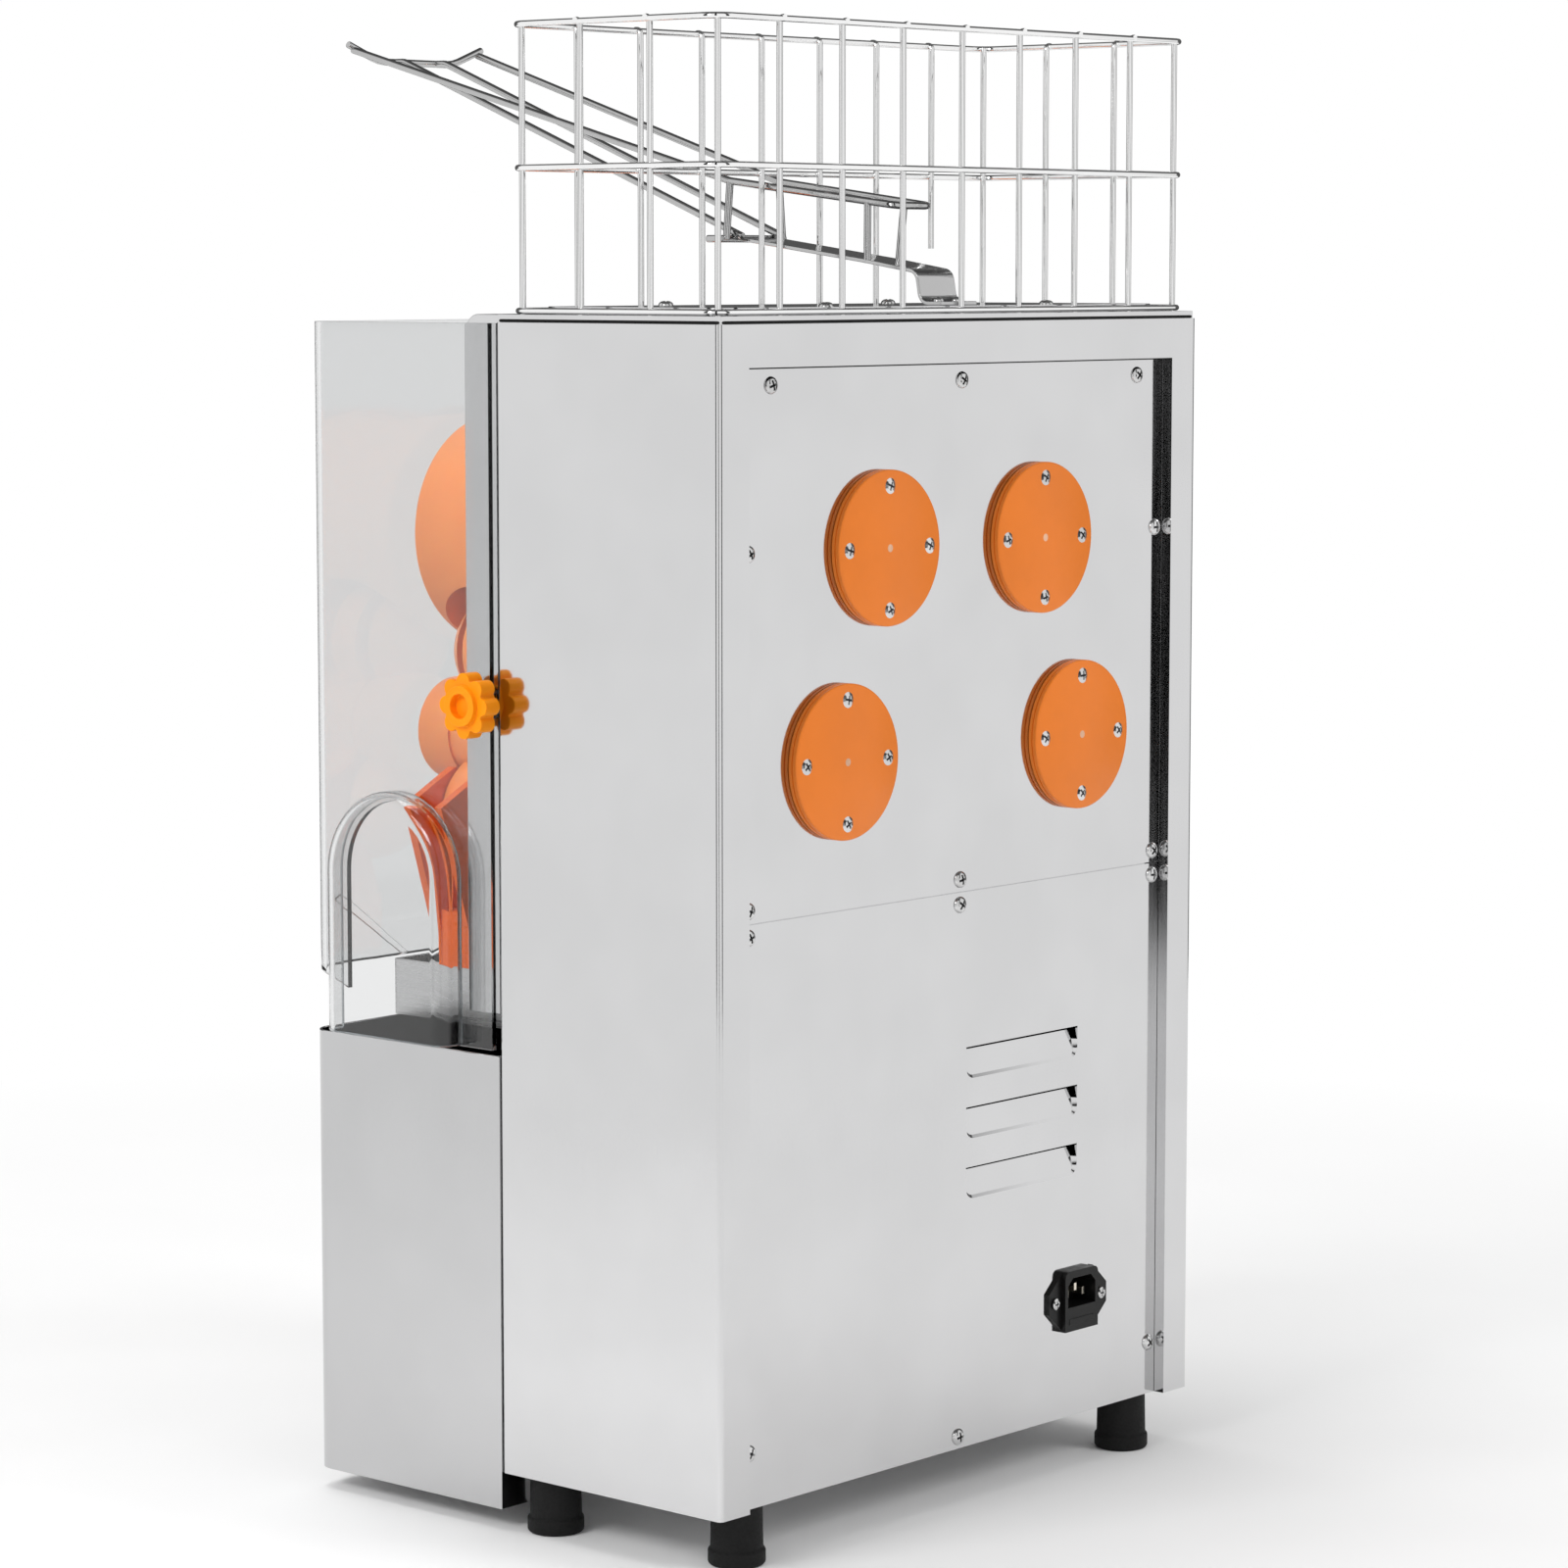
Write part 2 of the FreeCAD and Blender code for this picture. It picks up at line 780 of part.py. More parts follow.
def louvre_z(index):
    """The crisp top edge of a louvre."""
    return s.foot_height + s.louvre_top_rise - s.louvre_pitch * index


def louvre_outline(top):
    """A slot with a straight top and cut lower corners."""
    left = -s.louvre_side_x - s.louvre_width
    right = -s.louvre_side_x
    bottom = top - s.louvre_height
    return [(left, top), (left, bottom + s.louvre_corner), (left + s.louvre_corner, bottom),
            (right - s.louvre_corner, bottom), (right, bottom + s.louvre_corner), (right, top)]


def lower_rear_panel():
    """The panel with three louvres and the inlet opening."""
    seam = s.foot_height + s.lower_panel_height
    plate = box("lower_plate", panel_span(), (PANEL_BACK, PANEL_FACE),
                (s.foot_height, seam - s.panel_gap / 2))
    places = [p for p in panel_screw_places() if float(p[1]) < float(seam)]
    tools = screw_holes("lower_panel_hole", places, s.panel_screw_shank + s.seat)
    centre_z = s.foot_height + s.inlet_rise
    half = s.inlet_body_width / 2 + s.fit
    tools.append(box("inlet_opening", (-s.inlet_x - half, -s.inlet_x + half),
                     (PANEL_BACK - s.overrun, PANEL_FACE + s.overrun),
                     (centre_z - s.inlet_body_height / 2 - s.fit,
                      centre_z + s.inlet_body_height / 2 + s.fit)))
    for x in (-s.inlet_x - s.inlet_screw_x, -s.inlet_x + s.inlet_screw_x):
        tools.append(rod(f"inlet_screw_hole{len(tools)}", s.inlet_screw_shank + s.seat, "Y",
                         (PANEL_BACK - s.overrun, PANEL_FACE + s.overrun), (x, centre_z)))
    scoops = []
    for index in range(LOUVRES):
        top = louvre_z(index)
        slot_span = (PANEL_BACK - s.overrun, PANEL_FACE + s.overrun)
        tools.append(prism(f"louvre_slot{index}", "XZ", louvre_outline(top), slot_span))
        scoops.append(louvre_scoop(index, top))
    pierced = cut("lower_panel_cut", plate, tools)
    label(fuse("lower_panel_joined", [pierced] + scoops), "lower_rear_panel")


def louvre_scoop(index, top):
    """The pressed lip that leans inward from the bottom of a louvre."""
    bottom = top - s.louvre_height
    inner = PANEL_BACK - s.louvre_depth
    lean = s.louvre_corner * LOUVRE_LEAN_SHARE
    outside = [
        (PANEL_FACE - s.sheet / 2, bottom - lean), (PANEL_BACK, bottom - lean),
        (inner - s.sheet, bottom + s.louvre_corner), (inner - s.sheet, top),
        (PANEL_FACE - s.sheet / 2, top),
    ]
    inside = [
        (PANEL_FACE + s.overrun, bottom), (PANEL_BACK + s.sheet / 2, bottom),
        (inner, bottom + s.louvre_corner), (inner, top + s.overrun),
        (PANEL_FACE + s.overrun, top + s.overrun),
    ]
    left = -s.louvre_side_x - s.louvre_width
    right = -s.louvre_side_x
    shell = prism(f"scoop_outside{index}", "YZ", outside, (left - s.sheet, right + s.sheet))
    hollow = prism(f"scoop_inside{index}", "YZ", inside, (left, right))
    trim = box(f"scoop_trim{index}", (left - s.overrun, right + s.overrun),
               (PANEL_BACK + s.sheet / 3, PANEL_FACE + s.overrun),
               (bottom - s.overrun, top + s.overrun))
    return cut(f"scoop{index}", shell, [hollow, trim])


def pan_screw(name, head_radius, head, shank, length, axis, start, across, outward):
    """A pan head screw whose head seats at a plane and whose shank goes inward."""
    slot = head_radius * SCREW_SLOT_SHARE
    profile = [
        (0.0, -length), (shank, -length), (shank, 0.0), (head_radius, 0.0),
        (head_radius, head / 2), (head_radius * SCREW_CROWN_SHARE, head), (slot, head),
        (slot, head / 2), (0.0, head / 2),
    ]
    if outward < 0:
        profile = [(radius, -height) for radius, height in profile]
    return turned(name, profile, axis, start, across)


def rear_panel_screws():
    """All screws that hold the two rear panels."""
    screws = [pan_screw(f"panel_screw{i}", s.panel_screw_radius, s.panel_screw_head,
                        s.panel_screw_shank, s.panel_screw_length, "Y", PANEL_FACE, place, 1)
              for i, place in enumerate(panel_screw_places())]
    label(group("panel_screw_group", screws), "rear_panel_screws")


# Bearing covers

def cap_screw_places():
    """Four screws on a circle round each shaft."""
    places = []
    for x, z in SHAFTS.values():
        ring = s.cap_screw_circle + s.cap_screw_head
        places += [(x + ring, z), (x - ring, z), (x, z + ring), (x, z - ring)]
    return places


def bearing_cover(where, x, z):
    """A round plastic cover with a shallow groove, a centre mark and four sunk screw holes."""
    edge = s.cap_groove_radius + s.cap_groove_width
    floor = s.cap_thickness - s.cap_groove_depth
    profile = [
        (0.0, 0.0), (s.cap_radius, 0.0), (s.cap_radius, s.cap_thickness - s.cap_rim),
        (s.cap_radius - s.cap_rim, s.cap_thickness), (edge, s.cap_thickness),
        (edge, floor), (s.cap_groove_radius, floor), (s.cap_groove_radius, s.cap_thickness),
        (s.cap_mark_radius, s.cap_thickness),
        (s.cap_mark_radius, s.cap_thickness - s.cap_mark_depth),
        (0.0, s.cap_thickness - s.cap_mark_depth),
    ]
    disc = turned(f"cap_{where}", profile, "Y", PANEL_FACE, (x, z))
    ring = s.cap_screw_circle + s.cap_screw_head
    face = PANEL_FACE + s.cap_thickness
    tools = []
    for index, (dx, dz) in enumerate(((ring, 0.0), (-ring, 0.0), (0.0, ring), (0.0, -ring))):
        across = (x + dx, z + dz)
        tools.append(rod(f"cap_{where}_shank{index}", s.cap_screw_shank + s.seat, "Y",
                         (PANEL_FACE - s.overrun, face + s.overrun), across))
        tools.append(cone(f"cap_{where}_sink{index}",
                          (s.cap_screw_shank + s.seat, s.cap_screw_head + s.seat), "Y",
                          (face - s.cap_screw_head + s.cap_screw_shank, face), across))
    label(cut(f"cap_{where}_cut", disc, tools), f"bearing_cover_{where}")


def sunk_screw(name, head, shank, length, axis, start, across):
    """A countersunk screw, flush with the face that it starts from."""
    depth = head - shank
    slot = head * SCREW_SLOT_SHARE
    profile = [
        (0.0, -length), (shank, -length), (shank, -depth), (head, 0.0), (slot, 0.0),
        (slot, -depth / 2), (0.0, -depth / 2),
    ]
    return turned(name, profile, axis, start, across)


def countersunk_screws():
    """The screws of the bearing covers and of the inlet."""
    face = PANEL_FACE + s.cap_thickness
    screws = [sunk_screw(f"cap_screw{i}", s.cap_screw_head, s.cap_screw_shank,
                         s.cap_screw_length, "Y", face, place)
              for i, place in enumerate(cap_screw_places())]
    inlet_face = PANEL_FACE + s.inlet_flange_thickness
    z = s.foot_height + s.inlet_rise
    for sign in (-1, 1):
        screws.append(sunk_screw(f"inlet_screw{sign + 1}", s.inlet_screw_head,
                                 s.inlet_screw_shank, s.inlet_screw_length, "Y", inlet_face,
                                 (-s.inlet_x + s.inlet_screw_x * sign, z)))
    label(group("sunk_screw_group", screws), "countersunk_screws")


# Mains inlet

def inlet_housing():
    """The flanged socket with its earth skirt and the bay for the fuse drawer."""
    x = -s.inlet_x
    z = s.foot_height + s.inlet_rise
    half_w = s.inlet_flange_width / 2
    half_h = s.inlet_flange_height / 2
    half_top = s.inlet_top_width / 2
    ear = s.inlet_ear_height / 2
    outline = [
        (x - half_top, z - half_h), (x + half_top, z - half_h), (x + half_w, z - ear),
        (x + half_w, z + ear), (x + half_top, z + half_h), (x - half_top, z + half_h),
        (x - half_w, z + ear), (x - half_w, z - ear),
    ]
    face = PANEL_FACE + s.inlet_flange_thickness
    flange = prism("inlet_flange", "XZ", outline, (PANEL_FACE, face))
    half_body = s.inlet_body_width / 2
    rear = PANEL_FACE - s.inlet_body_depth
    shell = box("inlet_body", (x - half_body, x + half_body), (rear, PANEL_FACE),
                (z - s.inlet_body_height / 2, z + s.inlet_body_height / 2))
    base = fuse("inlet_joined", [flange, shell])
    socket_z = z + s.socket_rise
    half_socket = s.socket_width / 2
    low, high = socket_z - s.socket_height / 2, socket_z + s.socket_height / 2
    cavity = prism("inlet_cavity", "XZ", [
        (x - half_socket, low), (x + half_socket, low), (x + half_socket, high - s.socket_corner),
        (x + half_socket - s.socket_corner, high), (x - half_socket + s.socket_corner, high),
        (x - half_socket, high - s.socket_corner)], (face - s.socket_depth, face + s.overrun))
    fuse_z = z - s.fuse_drop
    bay = box("fuse_bay", (x - s.fuse_width / 2 - s.fit, x + s.fuse_width / 2 + s.fit),
              (face - s.fuse_depth - s.fit, face + s.overrun),
              (fuse_z - s.fuse_height / 2 - s.fit, fuse_z + s.fuse_height / 2 + s.fit))
    tools = [cavity, bay]
    for sign in (-1, 1):
        across = (x + s.inlet_screw_x * sign, z)
        tools.append(rod(f"inlet_shank{sign + 1}", s.inlet_screw_shank + s.seat, "Y",
                         (PANEL_FACE - s.overrun, face + s.overrun), across))
        tools.append(cone(f"inlet_sink{sign + 1}",
                          (s.inlet_screw_shank + s.seat, s.inlet_screw_head + s.seat), "Y",
                          (face - s.inlet_screw_head + s.inlet_screw_shank, face), across))
    label(cut("inlet_cut", base, tools), "inlet_housing")


def inlet_pins():
    """The three blades in the socket, the middle one a little lower."""
    x = -s.inlet_x
    z = s.foot_height + s.inlet_rise + s.socket_rise
    floor = PANEL_FACE + s.inlet_flange_thickness - s.socket_depth
    pins = []
    for index, shift in enumerate((-1, 0, 1)):
        lift = s.inlet_pin_lift * (1 if shift == 0 else -1)
        middle = x + s.inlet_pin_pitch * shift
        pins.append(box(f"inlet_pin{index}",
                        (middle - s.inlet_pin_width / 2, middle + s.inlet_pin_width / 2),
                        (floor, floor + s.inlet_pin_length),
                        (z + lift - s.inlet_pin_height / 2, z + lift + s.inlet_pin_height / 2)))
    label(group("inlet_pin_group", pins), "inlet_pins")


def fuse_drawer():
    """The small drawer under the socket, with a finger lip and a bay for the fuse."""
    x = -s.inlet_x
    z = s.foot_height + s.inlet_rise - s.fuse_drop
    face = PANEL_FACE + s.inlet_flange_thickness
    half = s.fuse_width / 2
    block = box("fuse_block", (x - half, x + half), (face - s.fuse_depth, face + s.fit),
                (z - s.fuse_height / 2, z + s.fuse_height / 2))
    lip = box("fuse_lip_bar", (x - half, x + half), (face + s.fit, face + s.fit + s.fuse_lip),
              (z - s.fuse_height / 2, z))
    bay = box("fuse_slot", (x - s.fuse_bay_length / 2, x + s.fuse_bay_length / 2),
              (face - s.fuse_depth + s.sheet, face - s.fuse_depth + s.sheet + s.fuse_bay_width * 2),
              (z - s.fuse_height / 2 + s.sheet, z + s.fuse_height))
    label(cut("fuse_cut", fuse("fuse_joined", [block, lip]), [bay]), "fuse_drawer")


# Gear train

def involute(angle):
    """The involute function."""
    return math.tan(angle) - angle


def gear_outline(teeth, module, phase):
    """The points of a spur gear's outline, with a tooth centred on the phase angle."""
    pitch = module * teeth / 2
    base = pitch * math.cos(PRESSURE_ANGLE)
    tip = pitch + module * TOOTH_TIP_SHARE
    root = pitch - module * TOOTH_ROOT_SHARE
    half = math.pi / (2 * teeth) * TOOTH_THICKNESS_SHARE
    flank_start = max(base, root)
    steps = FLANK_STEPS
    flank = [(root, half + involute(PRESSURE_ANGLE))] if base > root else []
    for step in range(steps + 1):
        radius = flank_start + (tip - flank_start) * step / steps
        roll = involute(math.acos(min(1.0, base / radius)))
        flank.append((radius, half + involute(PRESSURE_ANGLE) - roll))
    points = []
    for tooth in range(teeth):
        middle = math.radians(phase) + 2 * math.pi * tooth / teeth
        for radius, angle in flank:
            points.append((radius, middle - angle))
        for radius, angle in reversed(flank):
            points.append((radius, middle + angle))
    return [Vector(r * math.cos(a), 0, r * math.sin(a)) for r, a in points]


def gear_solid(teeth, phase, width, bore):
    """A spur gear blank with its teeth, standing along Y from zero."""
    points = gear_outline(teeth, float(s.gear_module), phase)
    face = Part.Face(Part.makePolygon(points + points[:1]))
    solid = face.extrude(Vector(0, width, 0))
    through = Part.makeCylinder(bore, width * 3, Vector(0, -width, 0), Vector(0, 1, 0))
    return solid.cut(through)


def dished(solid, teeth, width):
    """The gear with a recess in each face between hub and rim."""
    rim = float(s.gear_module) * (teeth / 2 - TOOTH_ROOT_SHARE) - float(s.gear_rim)
    depth = (width - float(s.gear_web)) / 2
    for start in (-depth, width - depth):
        outer = Part.makeCylinder(rim, depth * 2, Vector(0, start, 0), Vector(0, 1, 0))
        hub = Part.makeCylinder(float(s.gear_web_inner), depth * 2, Vector(0, start, 0),
                                Vector(0, 1, 0))
        solid = solid.cut(outer.cut(hub))
    return solid


def mesh_phase(angle, teeth_a, phase_a, teeth_b):
    """The phase of gear B that meshes with gear A across the line at this angle."""
    share_a = (angle - phase_a) * teeth_a / 360
    share_b = 0.5 - share_a
    return angle + 180 - share_b * 360 / teeth_b


def drive_angle(start, end):
    """The direction from one axis to another, in degrees."""
    return math.degrees(math.atan2(float(end[1]) - float(start[1]),
                                   float(end[0]) - float(start[0])))


def gears():
    """Four equal gears, two synchronising gears and the motor pinion, all in mesh."""
    width = float(s.gear_width)
    bore = float(s.shaft_radius + s.seat)
    down = drive_angle(SHAFTS["upper_right"], SHAFTS["lower_right"])
    lower_phase = mesh_phase(down, MAIN_TEETH, 0.0, MAIN_TEETH)
    phases = {"upper_right": 0.0, "lower_right": lower_phase,
              "upper_left": 180.0, "lower_left": 180.0 - lower_phase}
    for where, (x, z) in SHAFTS.items():
        solid = dished(gear_solid(MAIN_TEETH, phases[where], width, bore), MAIN_TEETH, width)
        gear = label(shaped(f"gear_{where}", solid), f"gear_{where}")
        move_to(gear, x, at_inset(s.gear_inset + s.gear_width), z)
    for name, sign, phase in (("right", 1, 180.0),
                              ("left", -1, mesh_phase(180.0, SYNC_TEETH, 180.0, SYNC_TEETH))):
        solid = dished(gear_solid(SYNC_TEETH, phase, width, bore), SYNC_TEETH, width)
        gear = label(shaped(f"sync_{name}", solid), f"sync_gear_{name}")
        move_to(gear, UPPER_X * sign, at_inset(s.sync_inset + s.gear_width), s.upper_axis_z)
    phase = mesh_phase(PINION_ANGLE, MAIN_TEETH, lower_phase, PINION_TEETH)
    overhang = float(s.pinion_overhang)
    wheel = gear_solid(PINION_TEETH, phase, width + 2 * overhang, float(s.motor_shaft_radius))
    length = float(s.gearbox_inset - s.gear_inset + s.motor_shaft_grip + s.gear_hub_step)
    grip = float(s.gearbox_inset + s.motor_shaft_grip - s.gear_inset - s.gear_width) - overhang
    shaft = Part.makeCylinder(float(s.motor_shaft_radius), length, Vector(0, -grip, 0),
                              Vector(0, 1, 0))
    pinion = label(shaped("pinion", wheel.fuse(shaft).removeSplitter()), "drive_pinion")
    move_to(pinion, PINION_X, at_inset(s.gear_inset + s.gear_width + s.pinion_overhang), PINION_Z)


def gear_plate(name, inset):
    """A steel plate between the sides that carries the bearings."""
    span = (at_inset(inset + s.plate_thickness), at_inset(inset))
    plate = box(f"{name}_blank", both(SIDE - s.sheet - s.fit), span,
                (s.plate_bottom, s.plate_top))
    through = (span[0] - s.overrun, span[1] + s.overrun)
    tools = [rod(f"{name}_seat_{where}", s.bearing_radius + s.seat, "Y", through, place)
             for where, place in SHAFTS.items()]
    label(cut(f"{name}_cut", plate, tools), name)


def gear_plate_pillars():
    """Four round pillars that hold the two plates apart."""
    span = (at_inset(s.front_plate_inset), at_inset(s.rear_plate_inset + s.plate_thickness))
    pillars = []
    for z in (s.plate_bottom + s.pillar_rise, s.plate_top - s.pillar_rise):
        for x in both(SIDE - s.pillar_side_inset):
            pillars.append(rod(f"pillar{len(pillars)}", s.pillar_radius, "Y", span, (x, z)))
    label(group("pillar_group", pillars), "gear_plate_pillars")


def bearing(name, y, across):
    """A ball bearing with a shallow dish between its races."""
    bore = s.shaft_radius + s.seat
    inner = bore + s.bearing_race
    outer = s.bearing_radius - s.bearing_race
    width = s.bearing_width
    profile = [
        (bore, 0.0), (inner, 0.0), (inner, s.bearing_dish), (outer, s.bearing_dish),
        (outer, 0.0), (s.bearing_radius, 0.0), (s.bearing_radius, width), (outer, width),
        (outer, width - s.bearing_dish), (inner, width - s.bearing_dish), (inner, width),
        (bore, width),
    ]
    return turned(name, profile, "Y", y, across)


def shaft_bearings():
    """A bearing in each plate for each of the four shafts."""
    overhang = (s.bearing_width - s.plate_thickness) / 2
    items = []
    for inset in (s.rear_plate_inset, s.front_plate_inset):
        y = at_inset(inset + s.plate_thickness) - overhang
        for where, place in SHAFTS.items():
            items.append(bearing(f"bearing{len(items)}_{where}", y, place))
    label(group("bearing_group", items), "shaft_bearings")


def shaft(where, x, z):
    """A drum shaft with a threaded front end."""
    rear_y = at_inset(s.shaft_inset)
    front_y = DRUM_FRONT
    length = rear_y - front_y
    thread = s.thread_length
    profile = [
        (0.0, 0.0), (s.thread_radius, 0.0), (s.thread_radius, thread), (s.shaft_radius, thread),
        (s.shaft_radius, thread + length - s.shaft_chamfer),
        (s.shaft_radius - s.shaft_chamfer, thread + length), (0.0, thread + length),
    ]
    body = turned(f"shaft_{where}_turned", profile, "Y", front_y - thread, (x, z))
    label(body, f"shaft_{where}")


def gearmotor():
    """The gearbox and motor that turn the pinion, held by the front gear plate."""
    half = s.gearbox_width / 2
    rear_y = at_inset(s.gearbox_inset)
    middle_y = rear_y - s.gearbox_length
    front_y = at_inset(s.front_plate_inset)
    gearbox = prism("gearbox", "XZ", rectangle((PINION_X - half, PINION_X + half),
                                               (PINION_Z - half, PINION_Z + half)),
                    (middle_y, rear_y))
    round_edges(gearbox, s.gearbox_corner, runs_along(Vector(0, 1, 0)))
    motor = rod("motor_can", s.motor_radius, "Y", (front_y, middle_y + s.overrun),
                (PINION_X, PINION_Z))
    bore = rod("motor_bore", s.motor_shaft_radius + s.seat, "Y",
               (rear_y - s.motor_shaft_grip - s.fit, rear_y + s.overrun), (PINION_X, PINION_Z))
    label(cut("gearmotor_cut", fuse("gearmotor_joined", [gearbox, motor]), [bore]), "gearmotor")


# Front housing and press

def front_housing():
    """The flat steel box on the front of the cabinet that the shafts come through."""
    half = HOUSING_SIDE
    y = (HOUSING_FRONT, CABINET_FRONT)
    blank = prism("housing_blank", "YZ", rectangle(y, (s.housing_bottom, s.housing_top)),
                  both(half))
    front = float(HOUSING_FRONT)
    top = float(s.housing_top)
    margin = float(s.fit)

    def top_front_edge(edge):
        box_of = edge.BoundBox
        return (abs(box_of.YMax - front) < margin and abs(box_of.ZMin - top) < margin)

    round_edges(blank, s.housing_edge, top_front_edge)
    tools = [box("housing_inside", both(half - s.sheet),
                 (HOUSING_FRONT + s.sheet, CABINET_FRONT + s.overrun),
                 (s.housing_bottom + s.sheet, s.housing_top - s.housing_edge))]
    for where, place in SHAFTS.items():
        tools.append(rod(f"housing_hole_{where}", s.shaft_hole_radius, "Y",
                         (HOUSING_FRONT - s.overrun, HOUSING_FRONT + s.overrun), place))
    for index, place in enumerate(lid_screw_places()[:2]):
        tools.append(rod(f"housing_screw_hole{index}", s.lid_screw_shank + s.seat, "Z",
                         (s.housing_top - s.overrun * 2, s.housing_top + s.overrun), place))
    slot = s.stud_radius + s.fit
    for name, side in SIDES:
        x = spanned(side, half - s.stud_reach, half + s.overrun)
        tools.append(box(f"housing_slot_{name}", x,
                         (HOUSING_FRONT - s.overrun, at_inset(s.knob_inset) + slot),
                         (s.knob_z - slot, s.knob_z + slot)))
    label(cut("housing_cut", blank, tools), "front_housing")


def cup_drum(name, side):
    """An upper drum with two cups, widened both ways so that the balls swing through clear."""
    x, z = UPPER_X * side, s.upper_axis_z
    hub_end = HOUSING_FRONT - s.drum_hub_gap
    radius = s.cup_drum_radius
    bore = s.shaft_radius + s.seat
    profile = [
        (bore, 0.0), (radius - s.drum_edge, 0.0), (radius, s.drum_edge),
        (radius, s.drum_length - s.drum_edge), (radius - s.drum_edge, s.drum_length),
        (s.drum_hub_radius, s.drum_length), (s.drum_hub_radius, hub_end - DRUM_FRONT),
        (bore, hub_end - DRUM_FRONT),
    ]
    drum = turned(f"cup_drum_{name}_turned", profile, "Y", DRUM_FRONT, (x, z))
    tools = []
    turns = [180 * cup + relief for cup in range(2)
             for relief in (-CUP_RELIEF_ANGLE, 0, CUP_RELIEF_ANGLE)]
    for index, turn in enumerate(turns):
        angle = math.radians(CUP_REST_ANGLE + turn)
        out_x, out_z = math.cos(angle) * side, math.sin(angle)
        tools.append(ball(f"cup_{name}{index}", s.cup_radius, x + s.cup_reach * out_x,
                          PRESS_Y, z + s.cup_reach * out_z))
    label(cut(f"cup_drum_{name}_cut", drum, tools), f"cup_drum_{name}")


def slot_places():
    """The middle of the two ejector slots along Y."""
    return (PRESS_Y - s.slot_spread, PRESS_Y + s.slot_spread)


def ball_drum(name, side):
    """A lower drum with two balls and the slots that the ejector fingers run in."""
    x, z = s.lower_axis_x * side, LOWER_Z
    hub_end = HOUSING_FRONT - s.drum_hub_gap
    rear_y = DRUM_FRONT + s.drum_length
    bore = s.shaft_radius + s.seat
    profile = [
        (bore, 0.0), (s.ball_hub_radius - s.drum_edge, 0.0), (s.ball_hub_radius, s.drum_edge),
        (s.ball_hub_radius, rear_y - DRUM_FRONT), (s.drum_hub_radius, rear_y - DRUM_FRONT),
        (s.drum_hub_radius, hub_end - DRUM_FRONT), (bore, hub_end - DRUM_FRONT),
    ]
    parts = [turned(f"ball_drum_{name}_hub", profile, "Y", DRUM_FRONT, (x, z))]
    for index in range(2):
        angle = math.radians(BALL_REST_ANGLE + 180 * index)
        parts.append(ball(f"lobe_{name}{index}", s.ball_radius,
                          x + s.ball_reach * math.cos(angle) * side, PRESS_Y,
                          z + s.ball_reach * math.sin(angle)))
    solid = fuse(f"ball_drum_{name}_joined", parts)
    tools = [rod(f"ball_drum_{name}_bore", bore, "Y",
                 (DRUM_FRONT - s.overrun, HOUSING_FRONT), (x, z))]
    reach = s.ball_reach + s.ball_radius + s.overrun
    for index, y in enumerate(slot_places()):
        span = (y - s.slot_width / 2, y + s.slot_width / 2)
        disc = rod(f"slot_{name}{index}_disc", reach, "Y", span, (x, z))
        core = rod(f"slot_{name}{index}_core", s.slot_floor_radius, "Y",
                   (span[0] - s.overrun, span[1] + s.overrun), (x, z))
        tools.append(cut(f"slot_{name}{index}", disc, [core]))
    label(cut(f"ball_drum_{name}_cut", solid, tools), f"ball_drum_{name}")


def drum_nut(where, x, z):
    """The domed nut that holds a drum on its shaft."""
    profile = [
        (s.thread_radius + s.seat, s.nut_length), (s.thread_radius + s.seat, s.nut_dome / 2),
        (s.thread_radius - s.seat * 2, 0.0), (s.nut_radius - s.nut_dome, 0.0),
        (s.nut_radius, s.nut_dome), (s.nut_radius, s.nut_length),
    ]
    blank = turned(f"nut_{where}_turned", profile, "Y", DRUM_FRONT - s.nut_length, (x, z))
    tools = []
    for index, sign in enumerate((-1, 1)):
        near, far = s.nut_flat / 2, s.nut_radius + s.overrun
        x_span = (x + near, x + far) if sign > 0 else (x - far, x - near)
        tools.append(box(f"nut_{where}_flat{index}", x_span,
                         (DRUM_FRONT - s.nut_length - s.overrun, DRUM_FRONT - s.drum_edge),
                         (z - s.nut_radius - s.overrun, z + s.nut_radius + s.overrun)))
    label(cut(f"nut_{where}_cut", blank, tools), f"drum_nut_{where}")


def knife():
    """The wedge that halves each orange between the upper drums."""
    top = s.knife_base_z + s.knife_height
    half = s.knife_half_width
    tip = s.knife_edge_width / 2
    outline = [(-half, s.knife_base_z), (half, s.knife_base_z), (tip, top), (-tip, top)]
    body = prism("knife_wedge", "XZ", outline, (at_inset(s.knife_front_inset), HOUSING_FRONT))
    label(body, "knife")


